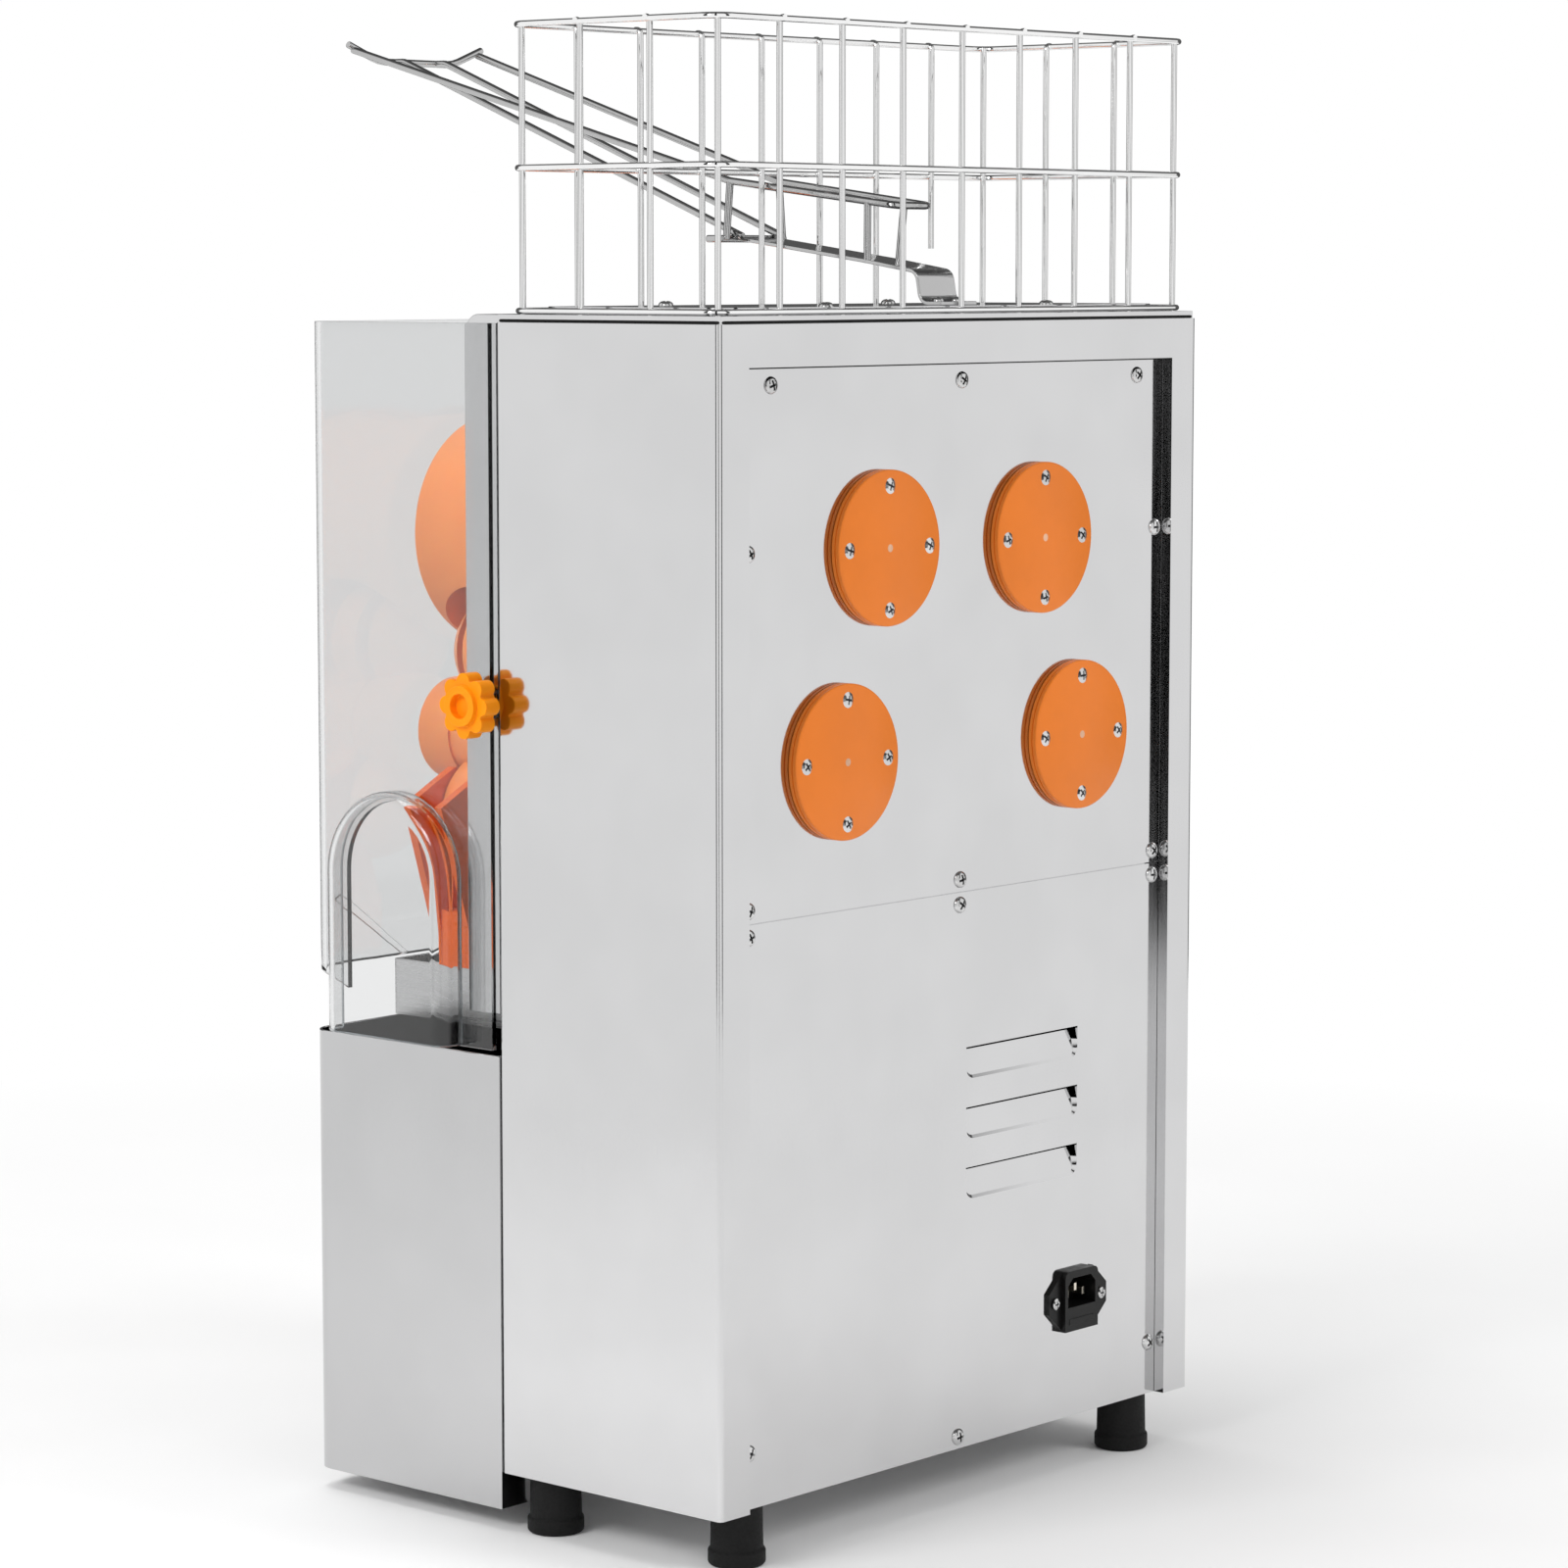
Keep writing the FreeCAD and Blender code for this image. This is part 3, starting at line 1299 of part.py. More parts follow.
def ejector(name, side):
    """Two curved fingers on one base that lift the peel out of the drum's slots."""
    axis_x, axis_z = s.lower_axis_x, LOWER_Z
    edge = s.tray_width / 2
    height = s.ball_reach + s.ball_radius
    tip = math.radians(EJECTOR_TIP_ANGLE)
    tip_x = axis_x + s.ejector_tip_reach * math.cos(tip)
    tip_z = axis_z + s.ejector_tip_reach * math.sin(tip)
    outline = [
        (edge - s.ledge_width, TRAY_TOP), (edge, TRAY_TOP),
        *[(edge + s.ball_reach * out, TRAY_TOP + height * up) for out, up in EJECTOR_OUTER_SHARES],
        (tip_x + s.ejector_thickness, tip_z + s.ejector_thickness / 2),
        (tip_x, tip_z),
        *[(edge - s.ledge_width * back, TRAY_TOP + height * up)
          for back, up in EJECTOR_INNER_SHARES],
    ]
    points = [(x * side, z) for x, z in outline]
    half = s.ejector_thickness / 2
    parts = [prism(f"finger_{name}{i}", "XZ", points, (y - half, y + half))
             for i, y in enumerate(slot_places())]
    low, high = slot_places()
    x = spanned(side, edge - s.ledge_width + s.fit, edge - s.fit)
    parts.append(box(f"ejector_{name}_base", x, (low - half, high + half),
                     (TRAY_TOP, TRAY_TOP + s.ejector_base_height)))
    label(fuse(f"ejector_{name}_joined", parts), f"ejector_{name}")


# Juice tray, strainer and tap

def juice_tray():
    """The trough under the drums, with a tongue under the housing and two ledges."""
    half = s.tray_width / 2
    front_y = at_inset(s.tray_front_inset)
    rear_y = HOUSING_FRONT - s.fit
    tongue_y = CABINET_FRONT - s.fit
    trough = prism("tray_trough", "XY", rectangle(both(half), (front_y, rear_y)),
                   (s.tray_bottom, TRAY_TOP))
    round_edges(trough, s.tray_corner, runs_along(Vector(0, 0, 1)))
    tongue = box("tray_tongue", both(half), (rear_y - s.tray_corner * 2, tongue_y),
                 (s.tray_bottom, s.tray_bottom + s.tray_tongue_height))
    floor = s.tray_bottom + s.tray_wall
    inside = box("tray_inside", both(half - s.tray_wall),
                 (front_y + s.tray_wall, rear_y - s.tray_wall - s.tray_corner),
                 (floor, TRAY_TOP + s.overrun))
    gap = s.strainer_width / 2 + s.fit
    low = s.tray_bottom + s.strainer_lift - s.fit
    window = box("tray_window", both(gap), (front_y - s.overrun, front_y + s.tray_wall * 2),
                 (low, low + s.strainer_height + s.fit * 2))
    drain = rod("tray_drain", s.drain_radius, "Z",
                (s.tray_bottom - s.overrun, floor + s.overrun), (0.0, at_inset(s.drain_inset)))
    hollow = cut("tray_hollow", fuse("tray_joined", [trough, tongue]), [inside, window, drain])
    parts = [hollow]
    for name, side in SIDES:
        parts.append(box(f"tray_ledge_{name}", spanned(side, half - s.ledge_width, half - s.fit),
                         (PRESS_Y - s.ledge_length / 2, PRESS_Y + s.ledge_length / 2),
                         (TRAY_TOP - s.ledge_height, TRAY_TOP)))
    label(fuse("tray_complete", parts), "juice_tray")


def strainer_drawer():
    """The slotted drawer that catches pips and pulp."""
    half = s.strainer_width / 2
    front_y = at_inset(s.tray_front_inset)
    rear_y = at_inset(s.strainer_rear_inset)
    low = s.tray_bottom + s.strainer_lift
    high = low + s.strainer_height
    wall = s.strainer_wall
    block = box("strainer_block", both(half), (front_y - s.fit, rear_y), (low, high))
    face_half = half + s.strainer_face_margin
    face = (front_y - s.fit - s.strainer_face, front_y - s.fit)
    plate = box("strainer_plate", both(face_half), face,
                (low - s.fit * 2, high + s.strainer_face_margin / 2))
    middle = (low + high) / 2
    grip = box("strainer_grip", both(s.strainer_grip_width / 2),
               (face[0] - s.strainer_grip_reach, face[0]),
               (middle - s.strainer_grip_height / 2, middle + s.strainer_grip_height / 2))
    tools = [box("strainer_hollow", both(half - wall), (front_y + wall, rear_y - wall),
                 (low + wall, high + s.overrun))]
    count = int(float(s.strainer_width) / float(s.strainer_slot_pitch)) - 1
    for index in range(count):
        x = s.strainer_slot_pitch * (index - (count - 1) / 2)
        tools.append(box(f"strainer_slot{index}",
                         (x - s.strainer_slot / 2, x + s.strainer_slot / 2),
                         (front_y + s.strainer_slot_margin, rear_y - s.strainer_slot_margin),
                         (low - s.overrun, low + wall + s.overrun)))
    base = fuse("strainer_joined", [block, plate, grip])
    label(cut("strainer_cut", base, tools), "strainer_drawer")


def tap_body():
    """The spout under the tray, with a boss across it for the plug."""
    y = at_inset(s.drain_inset)
    low = s.tray_bottom - s.tap_length
    axis_z = s.tray_bottom - s.tap_axis_drop
    boss_y = at_inset(s.tap_boss_inset)
    plug_y = at_inset(s.plug_rear_inset)
    parts = [
        rod("tap_tube", s.tap_radius, "Z", (low, s.tray_bottom), (0.0, y)),
        rod("tap_collar", s.tap_flange_radius, "Z",
            (s.tray_bottom - s.tap_flange, s.tray_bottom), (0.0, y)),
        rod("tap_boss", s.tap_boss_radius, "Y", (boss_y, y), (0.0, axis_z)),
    ]
    waist = (axis_z - s.tap_boss_radius, axis_z + s.tap_boss_radius)
    across = (0.0, y)
    tools = [
        rod("tap_outlet", s.drain_radius, "Z", (low - s.overrun, waist[0]), across),
        rod("tap_inlet", s.drain_radius, "Z", (waist[1], s.tray_bottom + s.overrun), across),
        rod("tap_core", s.plug_bore_radius, "Z", (low, s.tray_bottom), across),
        rod("tap_cross_bore", s.plug_radius + s.seat, "Y", (boss_y - s.overrun, plug_y + s.fit),
            (0.0, axis_z)),
    ]
    label(cut("tap_cut", fuse("tap_joined", parts), tools), "tap_body")


def tap_lever():
    """The cross drilled plug with its lever."""
    y = at_inset(s.drain_inset)
    axis_z = s.tray_bottom - s.tap_axis_drop
    boss_y = at_inset(s.tap_boss_inset)
    front = boss_y - s.fit
    plug = rod("tap_plug", s.plug_radius, "Y", (front - s.lever_thickness, at_inset(s.plug_rear_inset)),
               (0.0, axis_z))
    half = s.lever_width / 2
    tip = half * LEVER_TIP_SHARE
    outline = [
        (-half, axis_z + half), (half, axis_z + half), (half, axis_z - s.plug_radius),
        (tip, axis_z - s.lever_length), (-tip, axis_z - s.lever_length),
        (-half, axis_z - s.plug_radius),
    ]
    blade = prism("tap_blade", "XZ", outline, (front - s.lever_thickness, front))
    round_edges(blade, s.lever_rounding, runs_along(Vector(0, 1, 0)))
    hole = rod("plug_hole", s.plug_bore_radius, "Z",
               (axis_z - s.plug_radius - s.overrun, axis_z + s.plug_radius + s.overrun), (0.0, y))
    label(cut("tap_lever_cut", fuse("tap_lever_joined", [plug, blade]), [hole]), "tap_lever")


# Peel bins

def peel_bin(name, side):
    """An open steel bin in front of the cabinet."""
    x = spanned(side, SIDE - s.bin_width, SIDE)
    y = (at_inset(s.bin_front_inset), CABINET_FRONT - s.bin_rear_gap)
    outer = prism(f"bin_{name}_outer", "XY", rectangle(x, y), (s.bin_bottom, s.bin_top))
    front = float(y[0])
    reach = float(s.bin_corner)
    upright = runs_along(Vector(0, 0, 1))
    round_edges(outer, s.bin_corner,
                lambda edge: upright(edge) and edge.BoundBox.YMax < front + reach)
    wall = s.sheet
    inner = prism(f"bin_{name}_inner", "XY",
                  rectangle((x[0] + wall, x[1] - wall), (y[0] + wall, y[1] - wall)),
                  (s.bin_bottom + wall, s.bin_top + s.overrun))
    round_edges(inner, s.bin_corner - wall,
                lambda edge: upright(edge) and edge.BoundBox.YMax < front + reach)
    label(cut(f"bin_{name}_cut", outer, [inner]), f"peel_bin_{name}")


# Clear cover with its hoods and knobs

def clear_cover():
    """The U shaped clear cover round the drums, open above, behind and below."""
    half = COVER_SIDE
    wall = s.cover_wall
    y = (at_inset(s.cover_front_inset), at_inset(s.cover_rear_inset))
    z = (s.cover_bottom, s.cover_top)
    front = float(y[0])
    reach = float(s.cover_corner)
    upright = runs_along(Vector(0, 0, 1))

    def front_corner(edge):
        return upright(edge) and edge.BoundBox.YMax < front + reach

    outer = prism("cover_outer", "XY", rectangle(both(half), y), z)
    round_edges(outer, s.cover_corner, front_corner)
    inner = prism("cover_inner", "XY",
                  rectangle(both(half - wall), (y[0] + wall, y[1] + s.overrun)),
                  (z[0] - s.overrun, z[1] + s.overrun))
    round_edges(inner, s.cover_corner - wall, front_corner)
    slope = [
        (at_inset(s.cover_lip_inset), s.cover_bottom), (y[0], s.cover_front_bottom),
        (y[0] - s.overrun, s.cover_front_bottom), (y[0] - s.overrun, z[0] - s.overrun),
        (at_inset(s.cover_lip_inset), z[0] - s.overrun),
    ]
    tools = [inner, prism("cover_slope", "YZ", slope, both(half + s.overrun))]
    parts = []
    for name, side in SIDES:
        x = spanned(side, half - wall - s.overrun, half + s.overrun)
        tools.append(arch(f"cover_arch_{name}", s.hood_half_width - s.hood_wall * 2,
                          s.hood_top - s.hood_wall * 2, z[0] - s.overrun, x))
        across = (at_inset(s.knob_inset), s.knob_z)
        pad_x = spanned(side, HOUSING_SIDE + s.fit, half - wall / 2)
        disc = rod(f"cover_pad_{name}", s.stud_pad_radius, "X", pad_x, across)
        hole_x = spanned(side, HOUSING_SIDE, half + s.overrun)
        hole = rod(f"cover_hole_{name}", s.stud_radius + s.fit, "X", hole_x, across)
        behind = box(f"cover_pad_trim_{name}", hole_x, (y[1], y[1] + s.stud_pad_radius * 2),
                     (s.knob_z - s.stud_pad_radius * 2, s.knob_z + s.stud_pad_radius * 2))
        parts.append((disc, [hole, behind]))
        parts.append((cover_rib(name, side), []))
    shell = cut("cover_shell", outer, tools)
    joined = fuse("cover_joined", [shell] + [item for item, _ in parts])
    trims = [tool for _, tool_list in parts for tool in tool_list]
    label(cut("cover_cut", joined, trims), "clear_cover")


def cover_rib(name, side):
    """The slanted rib low on the front plate."""
    y = at_inset(s.cover_front_inset)
    low = s.cover_front_bottom
    inner = COVER_SIDE - s.rib_inner_inset
    outer = COVER_SIDE - s.rib_outer_inset
    outline = [
        (inner * side, low), ((inner + s.rib_width) * side, low),
        ((outer + s.rib_width) * side, low + s.rib_rise),
        (outer * side, low + s.rib_rise + s.rib_width / 2),
    ]
    return prism(f"cover_rib_{name}", "XZ", outline, (y - s.rib_thickness, y + s.cover_wall / 2))


def arch_profile(half, top, bottom):
    """An upright arch: straight sides with a half round top, as a face in the YZ plane."""
    y = float(at_inset(s.hood_inset))
    spring = top - half
    left = Vector(0, y - half, bottom)
    left_top = Vector(0, y - half, spring)
    crown = Vector(0, y, top)
    right_top = Vector(0, y + half, spring)
    right = Vector(0, y + half, bottom)
    edges = [
        Part.LineSegment(left, left_top).toShape(),
        Part.Arc(left_top, crown, right_top).toShape(),
        Part.LineSegment(right_top, right).toShape(),
        Part.LineSegment(right, left).toShape(),
    ]
    return Part.Face(Part.Wire(edges))


def arch(name, half, top, bottom, x):
    """An arch shaped block between two places along X."""
    face = arch_profile(float(half), float(top), float(bottom))
    item = shaped(name, face.extrude(Vector(float(x[1]) - float(x[0]), 0, 0)))
    bind(item, "Placement.Base.x", x[0])
    return item


def hood(name, side):
    """A clear hood over the opening in the cover's side, open at the bottom."""
    wall = float(s.hood_wall)
    half = float(s.hood_half_width)
    top = float(s.hood_top)
    bottom = float(s.hood_bottom)
    depth = float(s.hood_depth) * side
    rounding = float(s.hood_round)
    overrun = float(s.overrun)

    def block(inset, low, reach, radius):
        solid = arch_profile(half - inset, top - inset, low).extrude(Vector(reach, 0, 0))
        edges = [edge for edge in solid.Edges
                 if abs(edge.BoundBox.XMin - reach) < wall / 4
                 and abs(edge.BoundBox.XMax - reach) < wall / 4
                 and edge.BoundBox.ZMax > low + radius]
        return solid.makeFillet(radius, edges)

    outer = block(0, bottom, depth, rounding)
    inner = block(wall, bottom - overrun, depth - wall * side, rounding - wall)
    behind = arch_profile(half - wall, top - wall, bottom - overrun)
    mouth = behind.extrude(Vector(-overrun * side, 0, 0))
    item = label(shaped(f"hood_{name}", outer.cut(inner).cut(mouth)), f"outlet_hood_{name}")
    bind(item, "Placement.Base.x", COVER_SIDE * side)


def star_knob(name, side):
    """A lobed knob with a raised ring, a stem and a threaded stud."""
    start = COVER_SIDE + s.fit
    body_x = start + s.knob_stem_length
    face_x = body_x + s.knob_thickness
    y, z = at_inset(s.knob_inset), s.knob_z
    across = (y, z)
    parts = [
        rod(f"knob_core_{name}", s.knob_valley, "X", spanned(side, body_x, face_x), across),
        rod(f"knob_stem_{name}", s.knob_stem_radius, "X",
            spanned(side, start, body_x + s.knob_thickness / 2), across),
        rod(f"knob_stud_{name}", s.stud_radius, "X",
            spanned(side, HOUSING_SIDE - s.stud_reach / 2, body_x), across),
        rod(f"knob_ring_{name}", s.knob_ring_radius, "X",
            spanned(side, face_x - s.knob_ring_height, face_x + s.knob_ring_height), across),
    ]
    for lobe in range(KNOB_LOBES):
        angle = 2 * math.pi * lobe / KNOB_LOBES
        reach = s.knob_radius - s.knob_lobe
        parts.append(rod(f"knob_lobe_{name}{lobe}", s.knob_lobe, "X",
                         spanned(side, body_x, face_x),
                         (y + reach * math.cos(angle), z + reach * math.sin(angle))))
    bore = rod(f"knob_bore_{name}", s.knob_ring_bore, "X",
               spanned(side, face_x - s.knob_ring_height / 2, face_x + s.overrun), across)
    label(cut(f"knob_{name}_cut", fuse(f"knob_{name}_joined", parts), [bore]),
          f"star_knob_{name}")


# Top cover, basket and ramp

def top_cover():
    """The lid of the cabinet with a raised flat inside the basket."""
    half = SIDE - s.lid_step
    lid = box("lid_plate", both(half), (CABINET_FRONT + s.fit, REAR - s.lid_margin),
              (CABINET_TOP, s.housing_top))
    plateau_top = s.housing_top + s.plateau_height
    y = (at_inset(s.plateau_front_inset), at_inset(s.plateau_rear_inset))
    plateau = prism("lid_plateau", "XY", rectangle(both(SIDE - s.plateau_step), y),
                    (s.housing_top, plateau_top))
    round_edges(plateau, s.plateau_corner, runs_along(Vector(0, 0, 1)))
    tools = [rod(f"lid_hole{i}", s.lid_screw_shank + s.seat, "Z",
                 (plateau_top - s.lid_screw_length - s.fit, plateau_top + s.overrun), place)
             for i, place in enumerate(lid_screw_places() + ramp_screw_places())]
    label(cut("lid_cut", fuse("lid_joined", [lid, plateau]), tools), "top_cover")


def lid_screw_places():
    """The screws near the front and rear edges of the raised flat."""
    places = [(x, at_inset(s.lid_screw_front_inset)) for x in (-s.lid_screw_x, s.lid_screw_x)]
    return places + [(x, at_inset(s.lid_screw_rear_inset))
                     for x in (-s.lid_screw_x, s.lid_screw_x)]


def ramp_screw_places():
    """The two screws that hold the foot of the ramp."""
    y = at_inset(s.ramp_foot_inset - s.ramp_foot_length / 2)
    step = s.ramp_strap_width * RAMP_SCREW_STEP_SHARE
    return [(RAMP_X - step, y), (RAMP_X + step, y)]


def top_cover_screws():
    """The screws of the lid and of the ramp's foot."""
    top = s.housing_top + s.plateau_height
    screws = [pan_screw(f"lid_screw{i}", s.lid_screw_radius, s.lid_screw_head, s.lid_screw_shank,
                        s.lid_screw_length, "Z", top, place, 1)
              for i, place in enumerate(lid_screw_places())]
    for index, place in enumerate(ramp_screw_places()):
        screws.append(pan_screw(f"ramp_screw{index}", s.lid_screw_radius * RAMP_SCREW_SHARE,
                                s.lid_screw_head, s.lid_screw_shank, s.lid_screw_length, "Z",
                                top + s.ramp_strap_thickness, place, 1))
    label(group("lid_screw_group", screws), "top_cover_screws")


def bar(start, end, radius):
    """A straight round wire between two points."""
    run = end - start
    return Part.makeCylinder(radius, run.Length, start, run)


def wire_ring(x_half, y, z, corner, radius):
    """A rounded rectangle of wire lying flat."""
    middle = (y[0] + y[1]) / 2
    y_half = (y[1] - y[0]) / 2
    shapes = []
    for sign in (-1, 1):
        shapes.append(bar(Vector(-x_half + corner, middle + y_half * sign, z),
                          Vector(x_half - corner, middle + y_half * sign, z), radius))
        shapes.append(bar(Vector(x_half * sign, middle - y_half + corner, z),
                          Vector(x_half * sign, middle + y_half - corner, z), radius))
        for other in (-1, 1):
            centre = Vector((x_half - corner) * sign, middle + (y_half - corner) * other, z)
            turn = {(1, 1): 0, (-1, 1): 90, (-1, -1): 180, (1, -1): 270}[(sign, other)]
            section = Part.makeCircle(radius, Vector(corner, 0, 0), Vector(0, 1, 0))
            bend = Part.Face(Part.Wire(section)).revolve(Vector(), Vector(0, 0, 1), 90)
            bend.rotate(Vector(), Vector(0, 0, 1), turn)
            bend.translate(centre)
            shapes.append(bend)
    return shapes


def basket():
    """Three wire hoops joined by upright wires on all four sides."""
    radius = float(s.wire_radius)
    half = float(SIDE - s.basket_step)
    y = (float(at_inset(s.basket_front_inset)), float(at_inset(s.basket_rear_inset)))
    corner = float(s.basket_corner)
    levels = [float(z) for z in (s.basket_bottom_z, s.basket_middle_z, s.basket_top_z)]
    shapes = []
    for z in levels:
        shapes += wire_ring(half, y, z, corner, radius)
    weld = radius * WELD_SHARE
    pitch = float(s.wire_pitch)
    count = int(half / pitch + 0.5)
    columns = [pitch * step for step in range(-count + 1, count)]
    foot = float(s.housing_top)
    places = [(x, y[1] - weld, foot) for x in columns]
    places += [(x, y[0] + weld, foot) for x in columns if x != pitch * SHORT_WIRE_COLUMN]
    places.append((pitch * SHORT_WIRE_COLUMN, y[0] + weld, float(s.short_wire_z)))
    for share in BASKET_SIDE_SHARES:
        side_y = y[0] + (y[1] - y[0]) * share
        places += [(half - weld, side_y, foot), (weld - half, side_y, foot)]
    for x, wire_y, low in places:
        shapes.append(bar(Vector(x, wire_y, low),
                          Vector(x, wire_y, levels[2] + radius / 2), radius))
    joined = shapes[0].multiFuse(shapes[1:])
    label(shaped("basket_wires", joined), "basket")


RAMP_X = -s.wire_pitch / 2


def feed_ramp():
    """The wire ramp that rises to the front, on a bent strap foot."""
    radius = float(s.ramp_wire_radius)
    x = float(RAMP_X)
    thick = float(s.ramp_strap_thickness)
    half = float(s.ramp_strap_width) / 2
    foot_z = float(s.housing_top + s.plateau_height)

    def place(inset, z, shift=0.0):
        return Vector(x + shift, float(at_inset(inset)), float(z))

    path = [
        place(s.ramp_foot_inset - s.ramp_foot_length, foot_z), place(s.ramp_foot_inset, foot_z),
        place(s.ramp_knee_inset, s.ramp_knee_z), place(s.ramp_shelf_inset, s.ramp_shelf_z),
        place(s.ramp_cross_inset, s.ramp_cross_z),
    ]
    upper = [point + Vector(0, 0, thick) for point in path]
    outline = path + upper[::-1]
    face = Part.Face(Part.makePolygon(outline + outline[:1]))
    strap = face.extrude(Vector(half * 2, 0, 0))
    strap.translate(Vector(-half, 0, 0))
    for screw_x, screw_y in ramp_screw_places():
        strap = strap.cut(Part.makeCylinder(
            float(s.lid_screw_shank + s.seat), thick + float(s.overrun) * 2,
            Vector(float(screw_x), float(screw_y), foot_z - float(s.overrun))))
    cross_half = float(s.ramp_cross_width) / 2
    cross_y = float(at_inset(s.ramp_cross_inset))
    cross = Part.makeBox(cross_half * 2, float(s.ramp_cross_length), thick * 2,
                         Vector(x - cross_half, cross_y, float(s.ramp_cross_z) - thick))
    shapes = [strap, cross]
    gap = float(s.ramp_half_gap)
    spread = float(s.ramp_rail_spread)
    knee_spread = float(s.ramp_rail_knee_spread)
    rear_spread = float(s.ramp_rail_rear_spread)
    low_rear = s.ramp_cross_z + s.ramp_wire_radius
    for sign in (-1, 1):
        start = place(s.ramp_cross_inset - s.ramp_cross_length / 2, low_rear, gap * sign)
        end = place(s.ramp_low_front_inset, s.ramp_front_low_z, gap * sign)
        shapes += [bar(start, end, radius), Part.makeSphere(radius, start)]
        lip = place(s.ramp_band_inset, s.ramp_front_low_z, gap * sign)
        shapes += [Part.makeSphere(radius, end), bar(end, lip, radius)]
        rail_rear = place(s.ramp_rail_rear_inset, s.ramp_rail_rear_z, rear_spread * sign)
        rail_knee = place(s.ramp_cross_inset, s.ramp_rail_cross_z, knee_spread * sign)
        rail_front = place(s.ramp_band_inset, s.ramp_front_rail_z, spread * sign)
        shapes += [bar(rail_rear, rail_knee, radius), bar(rail_knee, rail_front, radius)]
        shapes += [Part.makeSphere(radius, point) for point in (rail_rear, rail_knee, rail_front)]
        post_foot = place(s.ramp_cross_inset, s.ramp_cross_z, cross_half * RAMP_POST_SHARE * sign)
        shapes.append(bar(post_foot, rail_knee, radius))
        back_foot = place(s.ramp_shelf_inset, s.ramp_shelf_z, (half - radius) * sign)
        back_top = rail_rear + (rail_knee - rail_rear) * RAMP_BACK_POST_SHARE
        shapes.append(bar(back_foot, back_top, radius))
    shapes.append(bar(place(s.ramp_rail_rear_inset, s.ramp_rail_rear_z, -rear_spread),
                      place(s.ramp_rail_rear_inset, s.ramp_rail_rear_z, rear_spread), radius))
    band_half = float(s.ramp_band_width) / 2
    low_band = place(s.ramp_band_inset, s.ramp_front_low_z, -band_half)
    high_band = place(s.ramp_band_inset, s.ramp_front_low_z, band_half)
    shapes.append(bar(low_band, high_band, radius))
    for end in (low_band, high_band):
        tip = end + Vector(0, 0, float(s.ramp_tip_rise + s.ramp_wire_radius))
        shapes += [bar(end, tip, radius), Part.makeSphere(radius, end),
                   Part.makeSphere(radius, tip)]
    joined = shapes[0].multiFuse(shapes[1:])
    label(shaped("ramp_wires", joined), "feed_ramp")


# Buttons on the side

def button_places():
    """The middles of the two buttons along Y and Z."""
    y = at_inset(s.button_plate_inset + s.button_plate_length / 2)
    z = s.button_plate_z + s.button_plate_height / 2
    return [(y - s.button_pitch / 2, z), (y + s.button_pitch / 2, z)]


def button_plate():
    """The plate on the side of the cabinet that guides the two buttons."""
    y_high = at_inset(s.button_plate_inset)
    plate = prism("button_blank", "YZ", rectangle(
        (y_high - s.button_plate_length, y_high),
        (s.button_plate_z, s.button_plate_z + s.button_plate_height)),
        (-SIDE - s.button_plate_thickness, -SIDE))
    round_edges(plate, s.button_radius / 2, runs_along(Vector(1, 0, 0)))
    tools = [rod(f"button_guide{i}", s.button_radius + s.fit, "X",
                 (-SIDE - s.button_plate_thickness - s.overrun, -SIDE + s.overrun), place)
             for i, place in enumerate(button_places())]
    label(cut("button_plate_cut", plate, tools), "button_plate")


def buttons():
    """The start and the stop button, each on a thin shank."""
    face = s.button_plate_thickness + s.button_cap
    for name, (y, z) in zip(("start_button", "stop_button"), button_places()):
        profile = [
            (0.0, 0.0), (s.button_radius - s.button_edge, 0.0), (s.button_radius, s.button_edge),
            (s.button_radius, face - s.button_travel - s.fit),
            (s.button_shank_radius, face - s.button_travel - s.fit),
            (s.button_shank_radius, face + s.sheet + s.button_travel * 2),
            (0.0, face + s.sheet + s.button_travel * 2),
        ]
        label(turned(name + "_turned", profile, "X", -SIDE - face, (y, z)), name)


# Build, check and write

cabinet_wrap()
base_pan()
feet()
upper_rear_panel()
lower_rear_panel()
rear_panel_screws()
for where, place in SHAFTS.items():
    bearing_cover(where, *place)
    shaft(where, *place)
    drum_nut(where, *place)
countersunk_screws()
inlet_housing()
inlet_pins()
fuse_drawer()
gears()
gear_plate("rear_gear_plate", s.rear_plate_inset)
gear_plate("front_gear_plate", s.front_plate_inset)
gear_plate_pillars()
shaft_bearings()
gearmotor()
front_housing()
knife()
for side_name, side_sign in SIDES:
    cup_drum(side_name, side_sign)
    ball_drum(side_name, side_sign)
    ejector(side_name, side_sign)
    peel_bin(side_name, side_sign)
    hood(side_name, side_sign)
    star_knob(side_name, side_sign)
juice_tray()
strainer_drawer()
tap_body()
tap_lever()
clear_cover()
top_cover()
top_cover_screws()
basket()
feed_ramp()
button_plate()
buttons()

doc.recompute()
failed = [item.Name for item in doc.Objects if {"Invalid", "Error"} & set(item.State)]
failed += [item.Label for item in NODES if item.Shape.isNull() or not item.Shape.isValid()]
if failed:
    raise RuntimeError("failed: " + ", ".join(failed))
os.makedirs("parts", exist_ok=True)
for item in NODES:
    item.Shape.exportStep(f"parts/{item.Label}.step")
    print(f"{item.Label}: {len(item.Shape.Solids)} solids, {item.Shape.Volume / 1000:.1f} cm3")
print(len(NODES), "nodes")
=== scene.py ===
import json
import math

import bmesh
import bpy
from mathutils import Matrix, Vector

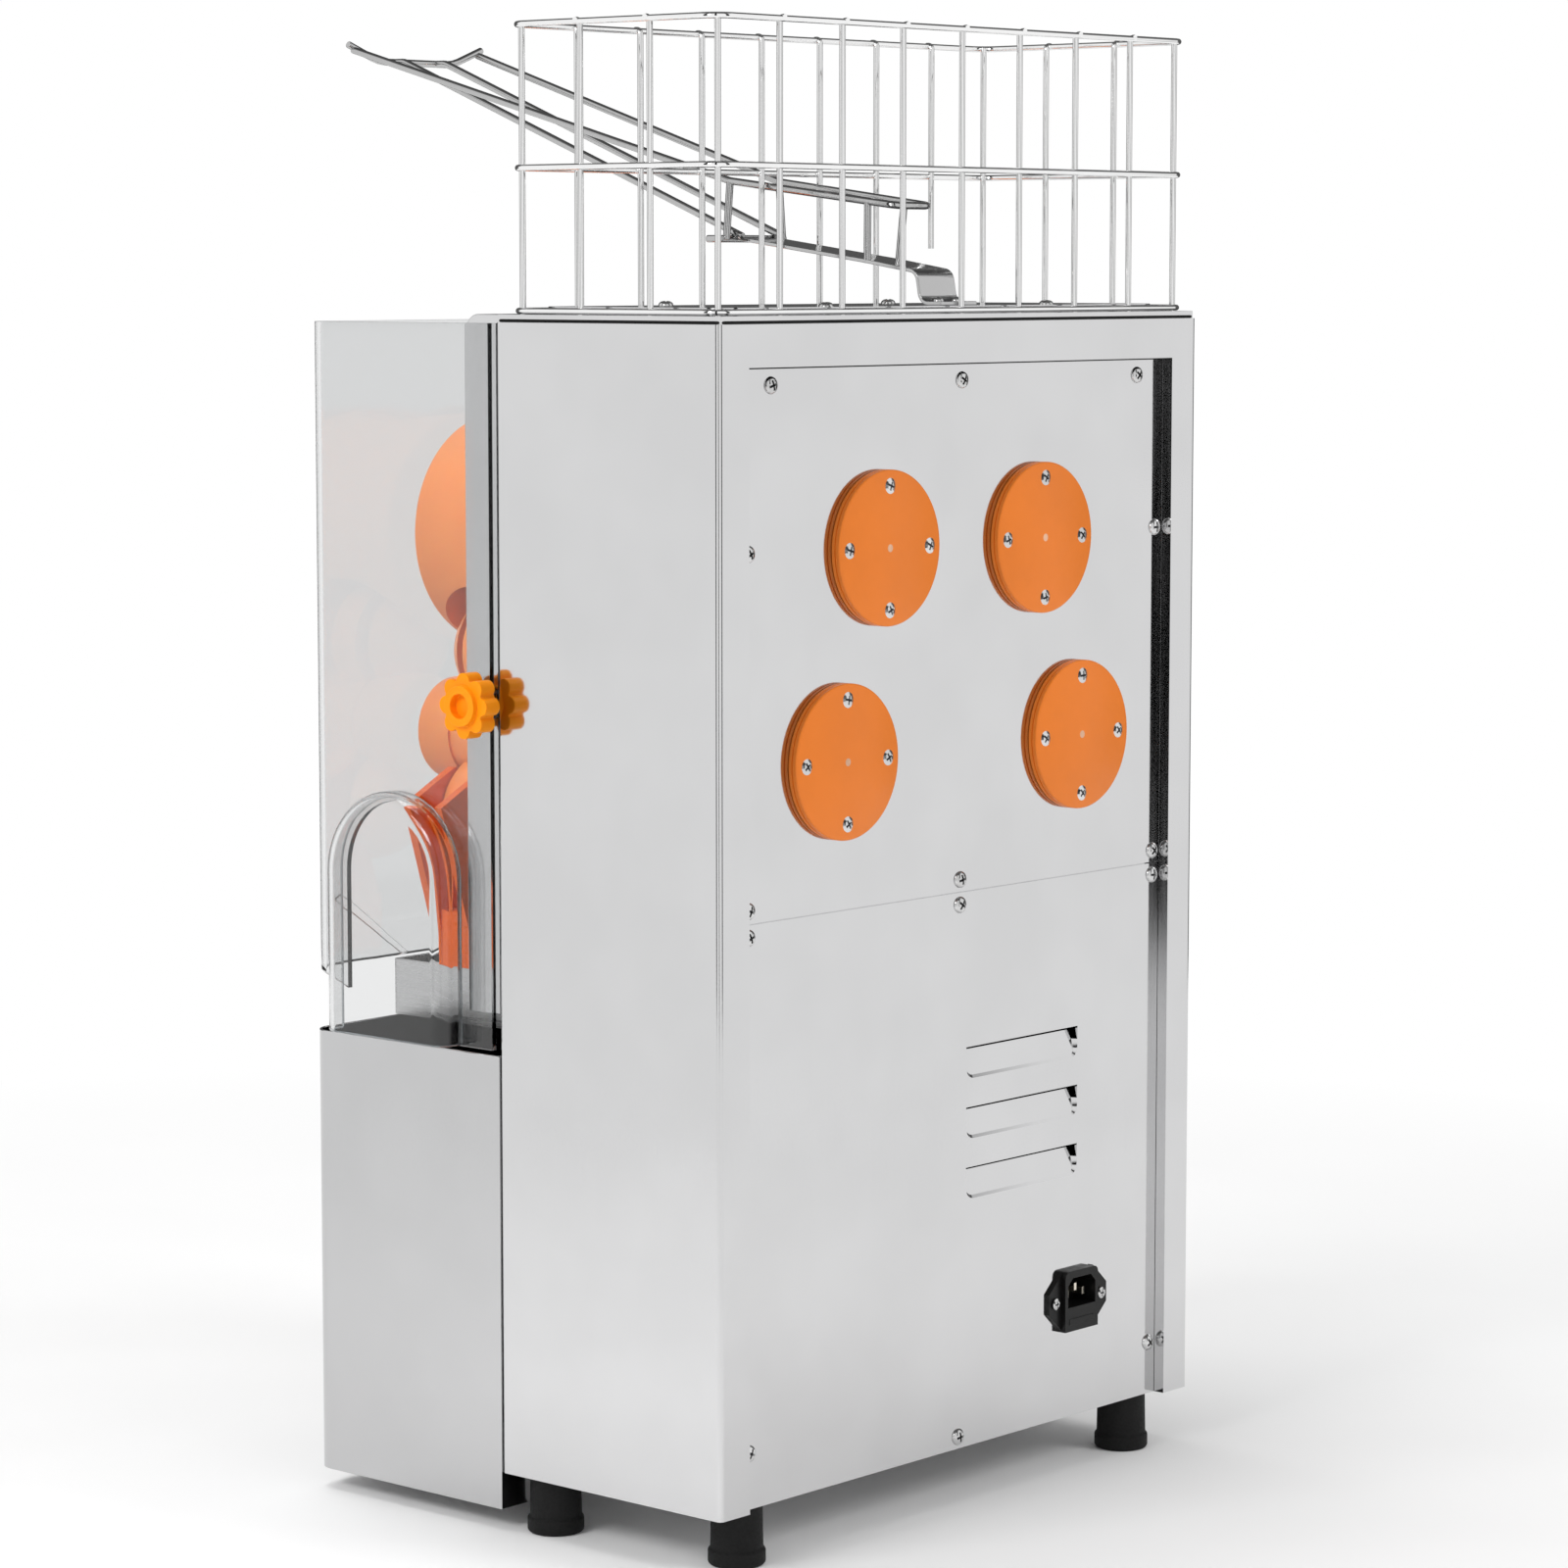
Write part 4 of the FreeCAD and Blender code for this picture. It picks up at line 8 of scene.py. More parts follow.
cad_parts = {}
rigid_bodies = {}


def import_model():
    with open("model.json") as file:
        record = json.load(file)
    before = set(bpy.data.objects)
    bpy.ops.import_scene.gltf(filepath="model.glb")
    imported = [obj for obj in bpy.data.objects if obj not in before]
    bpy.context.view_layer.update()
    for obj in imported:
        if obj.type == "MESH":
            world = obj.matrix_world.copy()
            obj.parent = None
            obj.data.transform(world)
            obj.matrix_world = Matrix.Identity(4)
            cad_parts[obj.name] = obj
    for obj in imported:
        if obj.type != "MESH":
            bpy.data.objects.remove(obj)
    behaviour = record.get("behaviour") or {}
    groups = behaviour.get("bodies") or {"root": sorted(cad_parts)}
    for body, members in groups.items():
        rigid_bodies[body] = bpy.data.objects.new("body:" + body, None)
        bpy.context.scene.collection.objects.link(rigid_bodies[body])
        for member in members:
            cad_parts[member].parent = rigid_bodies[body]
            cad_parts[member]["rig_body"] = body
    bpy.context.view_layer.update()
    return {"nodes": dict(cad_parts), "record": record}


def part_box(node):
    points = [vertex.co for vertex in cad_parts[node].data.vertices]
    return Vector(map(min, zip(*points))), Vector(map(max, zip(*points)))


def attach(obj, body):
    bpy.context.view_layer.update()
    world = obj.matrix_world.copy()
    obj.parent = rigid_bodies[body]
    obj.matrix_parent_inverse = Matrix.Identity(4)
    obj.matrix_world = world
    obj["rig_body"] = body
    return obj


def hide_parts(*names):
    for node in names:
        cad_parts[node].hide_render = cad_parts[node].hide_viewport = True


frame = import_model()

# Orange juicer seen from the rear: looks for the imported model, in metres

NODES = frame["nodes"]
MM = 0.001
CAD_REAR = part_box("cabinet_wrap")[1].y

# Camera, floor and studio

EYE = Vector((1.9283, 1.7767, 0.6562))
EYE_BACK = Vector((0.7480, 0.6551, 0.1082))
LENS = 109.62
SENSOR = 36.0

FLOOR_RADIUS = 2.0
FLOOR_FADE_START = 0.5
FLOOR_FADE_END = 1.3
LAMP_AIM = Vector((0, 0, 0.4))
SKY_LEVEL = 0.62
CEILING_LEVEL = 0.16
CEILING_RISE = (0.6, 0.8)
BEHIND_LEVEL = 0.1
BEHIND_ANGLES = (118, 108)
SIDE_LEVEL = 0.03
SIDE_NEAR_ANGLES = (68, 64)
SIDE_FAR_ANGLES = (50, 46)
GAP_LEVEL = 0.0
GAP_ANGLES = (6, 4.4)
CHANNEL = Vector((-0.173, 0.212, 0.4))

# Mesh work

WELD_DISTANCE = 0.01 * MM
CUT_DISTANCE = 0.001 * MM
FLAT_ANGLE = math.radians(0.3)
SMOOTH_ANGLE = math.radians(32)
EDGE_ANGLE = math.radians(40)
SHALLOW_ANGLE = math.radians(14)
STRAIGHT_ANGLE = math.radians(1)
WIRE_SIDES = 14
BEND_STEPS = 7
OUTWARD = Matrix.Rotation(math.radians(-90), 4, "X")

# Screws

CROSS_WIDTH_SHARE = 0.14
CROSS_LENGTH_SHARE = 0.6
CROSS_TAPER_SHARE = 0.03
FIRST_SCREW_TURN = 0.7
NEXT_SCREW_TURN = 2.4
PANEL_SCREW_HEAD = 2.2 * MM
COVER_SCREW_HEAD = 2.4 * MM

# Basket and ramp

WIRE_RADIUS = 1.6 * MM
HOOP_CORNER = 10 * MM
HOOP_FOOT_RISE = 1.8 * MM
HOOP_MIDDLE_RISE = 71.9 * MM
CORNER_POST_SHARE = 0.45
CREST_SHARE = 0.35
HOOK_SHARE = 1.4
HOOK_REACH_SHARE = 1.6
WIRE_PITCH = 47.5 * MM
WIRE_COLUMNS = 3
SHORT_WIRE_COLUMN = -3
SHORT_WIRE_Z = 665 * MM
SIDE_SHARES = (1 / 3, 2 / 3)
WELD_SHARE = 1.3

RAMP_RADIUS = 2.0 * MM
RAMP_X = -WIRE_PITCH / 2
RAMP_SOFT_EDGE = 0.4 * MM
STRAP_WIDTH = 30 * MM
STRAP_THICKNESS = 2 * MM
STRAP_BEND = 6 * MM
CROSS_PLATE = Vector((54, 12, 4)) * MM
CROSS_PLATE_EDGE = 1.2 * MM

# Rear panels and mains inlet

SHEET = 1.5 * MM
PANEL_SOFT_EDGE = 0.6 * MM
LOUVRES = 3
LOUVRE_START = -101.5 * MM
LOUVRE_END = -6 * MM
LOUVRE_TOP = 245.9 * MM
LOUVRE_PITCH = 32.25 * MM
LOUVRE_HEIGHT = 17 * MM
LOUVRE_DEPTH = 0.95 * MM
LOUVRE_WALL = 1.6 * MM
LOUVRE_CORNER = 6 * MM
LOUVRE_LEAN = math.radians(15)
LOUVRE_OPEN_SHARE = 0.42
LOUVRE_RIM_SHARE = 0.8
FRAME_TOP = 21.3 * MM
FRAME_SIDE = 22.0 * MM

INLET_HOLE_RISE = 3 * MM
INLET_HOLE_INSET = 11.5 * MM
EAR_THICKNESS = 1.9 * MM
EAR_INNER = 13.5 * MM
EAR_TIP_HALF = 5.5 * MM
EAR_SHOULDER = 13 * MM
BLOCK_WIDTH = 29 * MM
BLOCK_SHORTER = 0.4 * MM
BLOCK_CORNER = 3.5 * MM
BLOCK_BEHIND_DRAWER = 0.3 * MM
SOCKET_RISE = 4.6 * MM
SOCKET_HALF_HEIGHT = 8 * MM
SOCKET_HALF_WIDTH = 12 * MM
SOCKET_CORNER = 4 * MM
SOCKET_TAPER = 0.3 * MM
SOCKET_DEPTH = 15 * MM
INLET_SOFT_EDGE = 0.5 * MM

# Dark strips painted as shade in gaps, and covers

# Painted shade: a dark line for the gap under the rim of the top cover
LID_SHADE_RADIUS = 0.8 * MM
LID_SHADE_RISE = 0.9 * MM
LID_SHADE_CORNER = 3 * MM
# Painted shade: a dark strip for the gap along the top of the rear window
WINDOW_SHADE_STRIP = 1.1 * MM
WINDOW_SHADE_STRIP_BACK = 1.7 * MM
WINDOW_SHADE_STRIP_DROP = 0.2 * MM
WINDOW_SHADE_STRIP_EDGE = 0.3 * MM
COVER_STEPS = 96
MARK_STEPS = 14
SMALL_EDGE = 0.8


# Materials

def linked(tree, kind, **values):
    """A new shader node with its sockets or settings filled in."""
    node = tree.nodes.new(kind)
    for key, value in values.items():
        if key in node.inputs:
            node.inputs[key].default_value = value
        else:
            setattr(node, key, value)
    return node


def blank_material(name):
    """A node material with its tree and its main shader."""
    material = bpy.data.materials.new(name)
    material.use_nodes = True
    tree = material.node_tree
    return material, tree, tree.nodes["Principled BSDF"]


def grain(tree, scale, stretch=(1, 1, 1), detail=4.0):
    """Noise on the object's own coordinates, stretched for drawn or brushed surfaces."""
    place = linked(tree, "ShaderNodeTexCoord")
    mapping = linked(tree, "ShaderNodeMapping")
    mapping.inputs["Scale"].default_value = stretch
    noise = linked(tree, "ShaderNodeTexNoise", Scale=scale, Detail=detail, Roughness=0.55)
    tree.links.new(place.outputs["Object"], mapping.inputs["Vector"])
    tree.links.new(mapping.outputs["Vector"], noise.inputs["Vector"])
    return noise.outputs["Fac"]


def ranged(tree, source, low, high, start=0.3, end=0.7):
    """A value that follows a noise between two limits."""
    node = linked(tree, "ShaderNodeMapRange", clamp=True)
    for key, value in zip(("From Min", "From Max", "To Min", "To Max"), (start, end, low, high)):
        node.inputs[key].default_value = value
    tree.links.new(source, node.inputs["Value"])
    return node.outputs["Result"]


def tinted(tree, source, dark, light):
    """A colour that follows a noise between two tones."""
    node = linked(tree, "ShaderNodeValToRGB")
    node.color_ramp.elements[0].position = 0.35
    node.color_ramp.elements[1].position = 0.65
    node.color_ramp.elements[0].color = (*dark, 1)
    node.color_ramp.elements[1].color = (*light, 1)
    tree.links.new(source, node.inputs["Fac"])
    return node.outputs["Color"]


def relief(tree, source, depth, under=None):
    """A bump of this depth in metres, over another one if given."""
    node = linked(tree, "ShaderNodeBump", Strength=1.0, Distance=depth)
    tree.links.new(source, node.inputs["Height"])
    if under is not None:
        tree.links.new(under, node.inputs["Normal"])
    return node.outputs["Normal"]


def shaded(colour, share):
    """The colour taken down by a share."""
    return tuple(part * share for part in colour)


def sheet_metal(name, colour, rough, stretch=(1, 1, 1), scratch=0.0, wave=0.0, tone=0.96):
    """Sheet or bar steel with a faint drawn grain, cloudy sheen and slight waviness."""
    material, tree, shader = blank_material(name)
    shader.inputs["Metallic"].default_value = 1.0
    fine = grain(tree, 420, stretch)
    cloud = grain(tree, 14, detail=2.0)
    tree.links.new(tinted(tree, cloud, shaded(colour, tone), colour), shader.inputs["Base Color"])
    tree.links.new(ranged(tree, fine, *rough), shader.inputs["Roughness"])
    normal = relief(tree, fine, scratch)
    if wave:
        normal = relief(tree, grain(tree, 5, detail=1.0), wave, normal)
    tree.links.new(normal, shader.inputs["Normal"])
    return material


def moulded(name, colour, rough, depth=0.02 * MM, tone=0.88, coat=0.0, scale=260, glow=0.0,
            shine=0.5):
    """Moulded plastic or rubber: fine surface texture, slight colour clouds, soft gloss."""
    material, tree, shader = blank_material(name)
    shader.inputs["Coat Weight"].default_value = coat
    shader.inputs["Coat Roughness"].default_value = 0.08
    shader.inputs["Specular IOR Level"].default_value = shine
    if glow:
        shader.inputs["Subsurface Weight"].default_value = glow
        shader.inputs["Subsurface Radius"].default_value = (0.008, 0.003, 0.001)
        shader.inputs["Subsurface Scale"].default_value = 0.5
    fine = grain(tree, scale)
    cloud = grain(tree, 22, detail=3.0)
    tree.links.new(tinted(tree, cloud, shaded(colour, tone), colour), shader.inputs["Base Color"])
    tree.links.new(ranged(tree, fine, *rough), shader.inputs["Roughness"])
    tree.links.new(relief(tree, fine, depth), shader.inputs["Normal"])
    return material


def clear_sheet(name, colour):
    """Clear acrylic that lets the lamps through, with faint wipe marks."""
    material, tree, shader = blank_material(name)
    shader.inputs["Base Color"].default_value = (*colour, 1)
    shader.inputs["Transmission Weight"].default_value = 1.0
    shader.inputs["IOR"].default_value = 1.49
    wipe = grain(tree, 30, (1, 1, 0.2), detail=5.0)
    tree.links.new(ranged(tree, wipe, 0.0, 0.03), shader.inputs["Roughness"])
    tree.links.new(relief(tree, grain(tree, 9, detail=1.0), 0.05 * MM), shader.inputs["Normal"])
    through = linked(tree, "ShaderNodeBsdfTransparent", Color=(*colour, 1))
    path = linked(tree, "ShaderNodeLightPath")
    mix = linked(tree, "ShaderNodeMixShader")
    output = tree.nodes["Material Output"]
    tree.links.new(path.outputs["Is Shadow Ray"], mix.inputs["Fac"])
    tree.links.new(shader.outputs["BSDF"], mix.inputs[1])
    tree.links.new(through.outputs["BSDF"], mix.inputs[2])
    tree.links.new(mix.outputs["Shader"], output.inputs["Surface"])
    return material


UPRIGHT = (1, 1, 0.03)

FINISHES = {
    "polished_steel": sheet_metal("polished_steel", (0.665, 0.665, 0.67), (0.07, 0.12),
                                  UPRIGHT, 0.0015 * MM, 0.3 * MM),
    # The bins' polished steel made darker: painted shade for the darker reflections on the bins
    "bin_steel_shaded": sheet_metal("bin_steel_shaded", (0.57, 0.57, 0.575), (0.07, 0.12), UPRIGHT,
                             0.0015 * MM, 0.3 * MM),
    "tray_steel": sheet_metal("tray_steel", (0.56, 0.56, 0.565), (0.22, 0.34),
                              (1, 0.04, 1), 0.01 * MM, 0.2 * MM),
    "knife_steel": sheet_metal("knife_steel", (0.62, 0.62, 0.63), (0.1, 0.2), (1, 0.05, 1),
                               0.005 * MM),
    "wire_steel": sheet_metal("wire_steel", (0.9, 0.9, 0.9), (0.04, 0.08), (1, 1, 1),
                              0.004 * MM),
    "ramp_steel": sheet_metal("ramp_steel", (0.5, 0.5, 0.5), (0.07, 0.13), (1, 1, 1),
                              0.004 * MM),
    "screw_steel": sheet_metal("screw_steel", (0.72, 0.72, 0.72), (0.1, 0.2), (1, 1, 1),
                               0.01 * MM, tone=0.8),
    "recess_shadow": sheet_metal("recess_shadow", (0.05, 0.05, 0.055), (0.4, 0.6), (1, 1, 1),
                                 0.01 * MM, tone=0.6),
    "gear_steel": sheet_metal("gear_steel", (0.42, 0.41, 0.4), (0.25, 0.45), (1, 1, 1),
                              0.02 * MM, tone=0.8),
    "plate_steel": sheet_metal("plate_steel", (0.5, 0.5, 0.51), (0.3, 0.5), (0.05, 1, 1),
                               0.02 * MM, tone=0.85),
    "pin_brass": sheet_metal("pin_brass", (0.75, 0.7, 0.6), (0.15, 0.3), (1, 0.1, 1), 0.01 * MM),
    "orange_plastic": moulded("orange_plastic", (0.81, 0.203, 0.018), (0.34, 0.44), coat=0.06,
                              tone=0.93, shine=0.3),
    "knob_plastic": moulded("knob_plastic", (0.98, 0.3, 0.004), (0.34, 0.42), tone=0.95,
                            shine=0.15, glow=0.1),
    "drum_plastic": moulded("drum_plastic", (0.99, 0.31, 0.075), (0.3, 0.42), 0.04 * MM,
                            tone=0.93, coat=0.1, glow=0.25),
    "ejector_plastic": moulded("ejector_plastic", (0.86, 0.13, 0.002), (0.25, 0.35), coat=0.1,
                               tone=0.92, shine=0.3),
    "clear_plastic": clear_sheet("clear_plastic", (0.815, 0.82, 0.822)),
    # Darker tint for the rounded edges of clear parts: painted shade for the dark outlines of the
    # acrylic
    "clear_edge_painted_shade": clear_sheet("clear_edge_painted_shade", (0.2, 0.22, 0.23)),
    "black_rubber": moulded("black_rubber", (0.008, 0.008, 0.008), (0.55, 0.75), 0.06 * MM,
                            tone=0.7, scale=700, shine=0.22),
    "black_plastic": moulded("black_plastic", (0.006, 0.006, 0.006), (0.3, 0.45), 0.03 * MM,
                             tone=0.8, shine=0.25),
    "motor_paint": moulded("motor_paint", (0.11, 0.14, 0.17), (0.4, 0.55), 0.05 * MM, scale=520),
    "green_plastic": moulded("green_plastic", (0.02, 0.3, 0.06), (0.22, 0.3), coat=0.4),
    "red_plastic": moulded("red_plastic", (0.55, 0.02, 0.015), (0.22, 0.3), coat=0.4),
    "scuffed_plastic": moulded("scuffed_plastic", (0.85, 0.5, 0.32), (0.5, 0.7), 0.2 * MM,
                               tone=0.6, scale=900),
}


# Mesh helpers

def verts_of(geometry):
    """The vertices in an operator's result."""
    return [item for item in geometry if isinstance(item, bmesh.types.BMVert)]


def edges_of(geometry):
    """The edges in an operator's result."""
    return [item for item in geometry if isinstance(item, bmesh.types.BMEdge)]


def edges_round(verts):
    """The edges that meet these vertices, each once."""
    return list(dict.fromkeys(edge for vert in verts for edge in vert.link_edges))


def push(bm, ring, step):
    """Draw a ring of edges along a step."""
    made = bmesh.ops.extrude_edge_only(bm, edges=ring)["geom"]
    bmesh.ops.translate(bm, verts=verts_of(made), vec=step)
    return edges_of(made)


def swing(bm, ring, centre, axis, angle, steps):
    """Turn a ring of edges about an axis."""
    made = bmesh.ops.spin(bm, geom=ring, cent=centre, axis=axis, angle=angle, steps=steps,
                          use_duplicate=False)
    return edges_of(made["geom_last"])


def round_section(bm, start, along, radius):
    """The round start of a wire, facing along its first run."""
    turn = along.to_track_quat("Z", "Y").to_matrix().to_4x4()
    made = bmesh.ops.create_circle(bm, cap_ends=False, radius=radius, segments=WIRE_SIDES,
                                   matrix=Matrix.Translation(start) @ turn)
    return edges_round(made["verts"])


def flat_section(bm, start, along, width, thickness):
    """The flat start of a strap that lies across X, facing along its first run."""
    across = Vector((1, 0, 0))
    up = along.cross(across).normalized()
    corners = [(-1, -1), (1, -1), (1, 1), (-1, 1)]
    verts = [bm.verts.new(start + across * width / 2 * i + up * thickness / 2 * j)
             for i, j in corners]
    return [bm.edges.new((a, b)) for a, b in zip(verts, verts[1:] + verts[:1])]


def follow(bm, ring, points, bend):
    """Draw a section through points with an arc at each corner, and return its end."""
    here = points[0]
    for before, corner, after in zip(points, points[1:], points[2:]):
        a = (corner - before).normalized()
        b = (after - corner).normalized()
        turn = a.angle(b)
        if turn < STRAIGHT_ANGLE:
            continue
        back = bend * math.tan(turn / 2)
        ring = push(bm, ring, corner - a * back - here)
        centre = corner - a * back + (b - a * a.dot(b)).normalized() * bend
        steps = max(2, round(BEND_STEPS * turn / (math.pi / 2)))
        ring = swing(bm, ring, centre, a.cross(b), turn, steps)
        here = corner + b * back
    return push(bm, ring, points[-1] - here)


def wire(bm, points, radius, bend=3 * MM):
    """A round wire with closed ends."""
    start = round_section(bm, points[0], (points[1] - points[0]).normalized(), radius)
    end = follow(bm, start, points, bend)
    for ring in (start, end):
        bmesh.ops.contextual_create(bm, geom=ring)


def hoop(bm, low, high, z, radius, corner):
    """A rounded rectangle of wire lying flat, closed on itself."""
    x0, y0, x1, y1 = low.x, low.y, high.x, high.y
    middle = Vector(((x0 + x1) / 2, y0, z))
    points = [middle, Vector((x1, y0, z)), Vector((x1, y1, z)), Vector((x0, y1, z)),
              Vector((x0, y0, z)), middle]
    start = round_section(bm, points[0], Vector((1, 0, 0)), radius)
    follow(bm, start, points, corner)


def lathe(bm, profile, steps=28):
    """A turned form about Z from pairs of radius and height."""
    verts = [bm.verts.new((radius, 0, height)) for radius, height in profile]
    edges = [bm.edges.new(pair) for pair in zip(verts, verts[1:])]
    bmesh.ops.spin(bm, geom=verts + edges, cent=(0, 0, 0), axis=(0, 0, 1), angle=2 * math.pi,
                   steps=steps, use_merge=True, use_duplicate=False)
    bmesh.ops.remove_doubles(bm, verts=bm.verts, dist=WELD_DISTANCE)


def slice_faces(bm, faces, point, normal):
    """Cut only some faces by a plane."""
    geometry = list(dict.fromkeys([*faces, *(edge for face in faces for edge in face.edges),
                                   *(vert for face in faces for vert in face.verts)]))
    bmesh.ops.bisect_plane(bm, geom=geometry, plane_co=point, plane_no=normal,
                           dist=CUT_DISTANCE)


def faces_between(bm, axis, start, end):
    """The faces whose middles lie between two heights on an axis."""
    return [face for face in bm.faces if start < face.calc_center_median()[axis] < end]


def cross_recess(bm, radius, floor, depth):
    """Press a cross into the top of a screw head."""
    wide, long = radius * CROSS_WIDTH_SHARE, radius * CROSS_LENGTH_SHARE
    for normal in (Vector((1, 0, 0)), Vector((0, 1, 0))):
        for offset in (-long, -wide, wide, long):
            faces = [face for face in bm.faces if face.calc_center_median().z > floor]
            slice_faces(bm, faces, normal * offset, normal)
    inside = []
    for face in bm.faces:
        middle = face.calc_center_median()
        near, far = sorted((abs(middle.x), abs(middle.y)))
        if middle.z > floor and near < wide and far < long:
            inside.append(face)
    bmesh.ops.inset_region(bm, faces=inside, thickness=radius * CROSS_TAPER_SHARE, depth=-depth)
    for face in inside:
        face.material_index = 1


def placed(bm, name, material, body, slot, *nodes):
    """Turn a bmesh into a piece that rides on a body and stands for its CAD nodes."""
    mesh = bpy.data.meshes.new(name)
    bm.to_mesh(mesh)
    bm.free()
    mesh.materials.append(material)
    mesh.shade_smooth()
    mesh.set_sharp_from_angle(angle=SMOOTH_ANGLE)
    piece = bpy.data.objects.new(name, mesh)
    bpy.context.scene.collection.objects.link(piece)
    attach(piece, body)
    if nodes:
        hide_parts(*nodes)
    return piece


def finished(bm, *facts):
    """Close a new shape, turn its faces outward and make it a piece."""
    bmesh.ops.remove_doubles(bm, verts=bm.verts, dist=WELD_DISTANCE)
    bmesh.ops.recalc_face_normals(bm, faces=bm.faces)
    return placed(bm, *facts)


def softened(piece, width, segments=2, angle=EDGE_ANGLE):
    """Give a piece small rounded edges that catch the light."""
    bevel = piece.modifiers.new("soft_edges", "BEVEL")
    bevel.width = width
    bevel.segments = segments
    bevel.limit_method = "ANGLE"
    bevel.angle_limit = angle
    bevel.harden_normals = True
    bevel.use_clamp_overlap = True


def merged_copy(node):
    """A bmesh of a CAD node with its loose triangles joined and flat faces cleaned."""
    bm = bmesh.new()
    mesh = NODES[node].data.copy()
    if "custom_normal" in mesh.attributes:
        mesh.attributes.remove(mesh.attributes["custom_normal"])
    bm.from_mesh(mesh)
    bpy.data.meshes.remove(mesh)
    bmesh.ops.remove_doubles(bm, verts=bm.verts, dist=WELD_DISTANCE)
    bmesh.ops.dissolve_limit(bm, angle_limit=FLAT_ANGLE, verts=bm.verts, edges=bm.edges)
    return bm


def edged(node, slot, finish, width, segments):
    """A CAD node's shape again, with rounded edges."""
    piece = placed(merged_copy(node), f"{node}_finished", FINISHES[finish],
                   NODES[node]["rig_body"], slot, node)
    softened(piece, width, segments)
    # The rounded edges of clear parts take a darker tint, painted shade for their dark outlines
    if slot == "clear_plastic":
        piece.data.materials.append(FINISHES["clear_edge_painted_shade"])
        piece.modifiers["soft_edges"].material = 1


def solid_boxes(node):
    """The box of each separate solid in a CAD node."""
    bm = merged_copy(node)
    left = set(bm.verts)
    boxes = []
    while left:
        island = [left.pop()]
        for vert in island:
            for edge in vert.link_edges:
                other = edge.other_vert(vert)
                if other in left:
                    left.remove(other)
                    island.append(other)
        low = Vector(tuple(min(vert.co[i] for vert in island) for i in range(3)))
        high = Vector(tuple(max(vert.co[i] for vert in island) for i in range(3)))
        boxes.append((low, high))
    bm.free()
    return sorted(boxes, key=lambda pair: tuple(round(part, 5) for part in pair[0]))


def copies(bm, unit, places):
    """Add a mesh at each of several placements."""
    for place in places:
        known = set(bm.verts)
        bm.from_mesh(unit)
        fresh = [vert for vert in bm.verts if vert not in known]
        bmesh.ops.transform(bm, matrix=place, verts=fresh)


# Screws

def pan_head_unit(radius, height, length):
    """A pan head screw with a cross recess, standing on the plane z = 0."""
    bm = bmesh.new()
    shank = radius * 0.42
    lathe(bm, [(0, height), (radius * 0.35, height * 0.97), (radius * 0.68, height * 0.82),
               (radius * 0.9, height * 0.5), (radius, height * 0.12), (radius, 0), (shank, 0),
               (shank, -length), (0, -length)])
    cross_recess(bm, radius, height * 0.3, height * 0.7)
    unit = bpy.data.meshes.new("pan_head")
    bm.to_mesh(unit)
    bm.free()
    return unit


def sunk_head_unit(radius, length):
    """A raised countersunk screw with a cross recess, its rim at z = 0."""
    bm = bmesh.new()
    shank = radius * 0.45
    depth = radius - shank
    lathe(bm, [(0, radius * 0.2), (radius * 0.6, radius * 0.17), (radius * 0.97, 0.0),
               (radius * 0.97, -radius * 0.05), (shank, -depth), (shank, -length), (0, -length)])
    cross_recess(bm, radius, radius * 0.01, radius * 0.13)
    unit = bpy.data.meshes.new("sunk_head")
    bm.to_mesh(unit)
    bm.free()
    return unit


def screw_places(boxes, axis):
    """A placement for each screw on its seat, each turned its own way."""
    places = []
    for index, (low, high) in enumerate(boxes):
        middle = (low + high) / 2
        spin = Matrix.Rotation(FIRST_SCREW_TURN + NEXT_SCREW_TURN * index, 4, "Z")
        if axis == "Y":
            seat = Vector((middle.x, high.y, middle.z))
            turn = OUTWARD
        else:
            seat = Vector((middle.x, middle.y, high.z))
            turn = Matrix.Identity(4)
        places.append((seat, turn @ spin))
    return places


def screws(node, axis, head, pan):
    """All the screws of a node, on the seats of its solids."""
    boxes = solid_boxes(node)
    bm = bmesh.new()
    for (low, high), (seat, turn) in zip(boxes, screw_places(boxes, axis)):
        size = high - low
        radius = size.x / 2
        length = (size.y if axis == "Y" else size.z) - (head if pan else 0)
        unit = pan_head_unit(radius, head, length) if pan else sunk_head_unit(radius, length)
        drop = Vector((0, 0, -head)) if pan else Vector((0, 0, 0))
        copies(bm, unit, [Matrix.Translation(seat) @ turn @ Matrix.Translation(drop)])
        bpy.data.meshes.remove(unit)
    piece = finished(bm, f"{node}_cross_head", FINISHES["screw_steel"], "cabinet",
                     "screw_steel", node)
    piece.data.materials.append(FINISHES["recess_shadow"])


# Basket and ramp

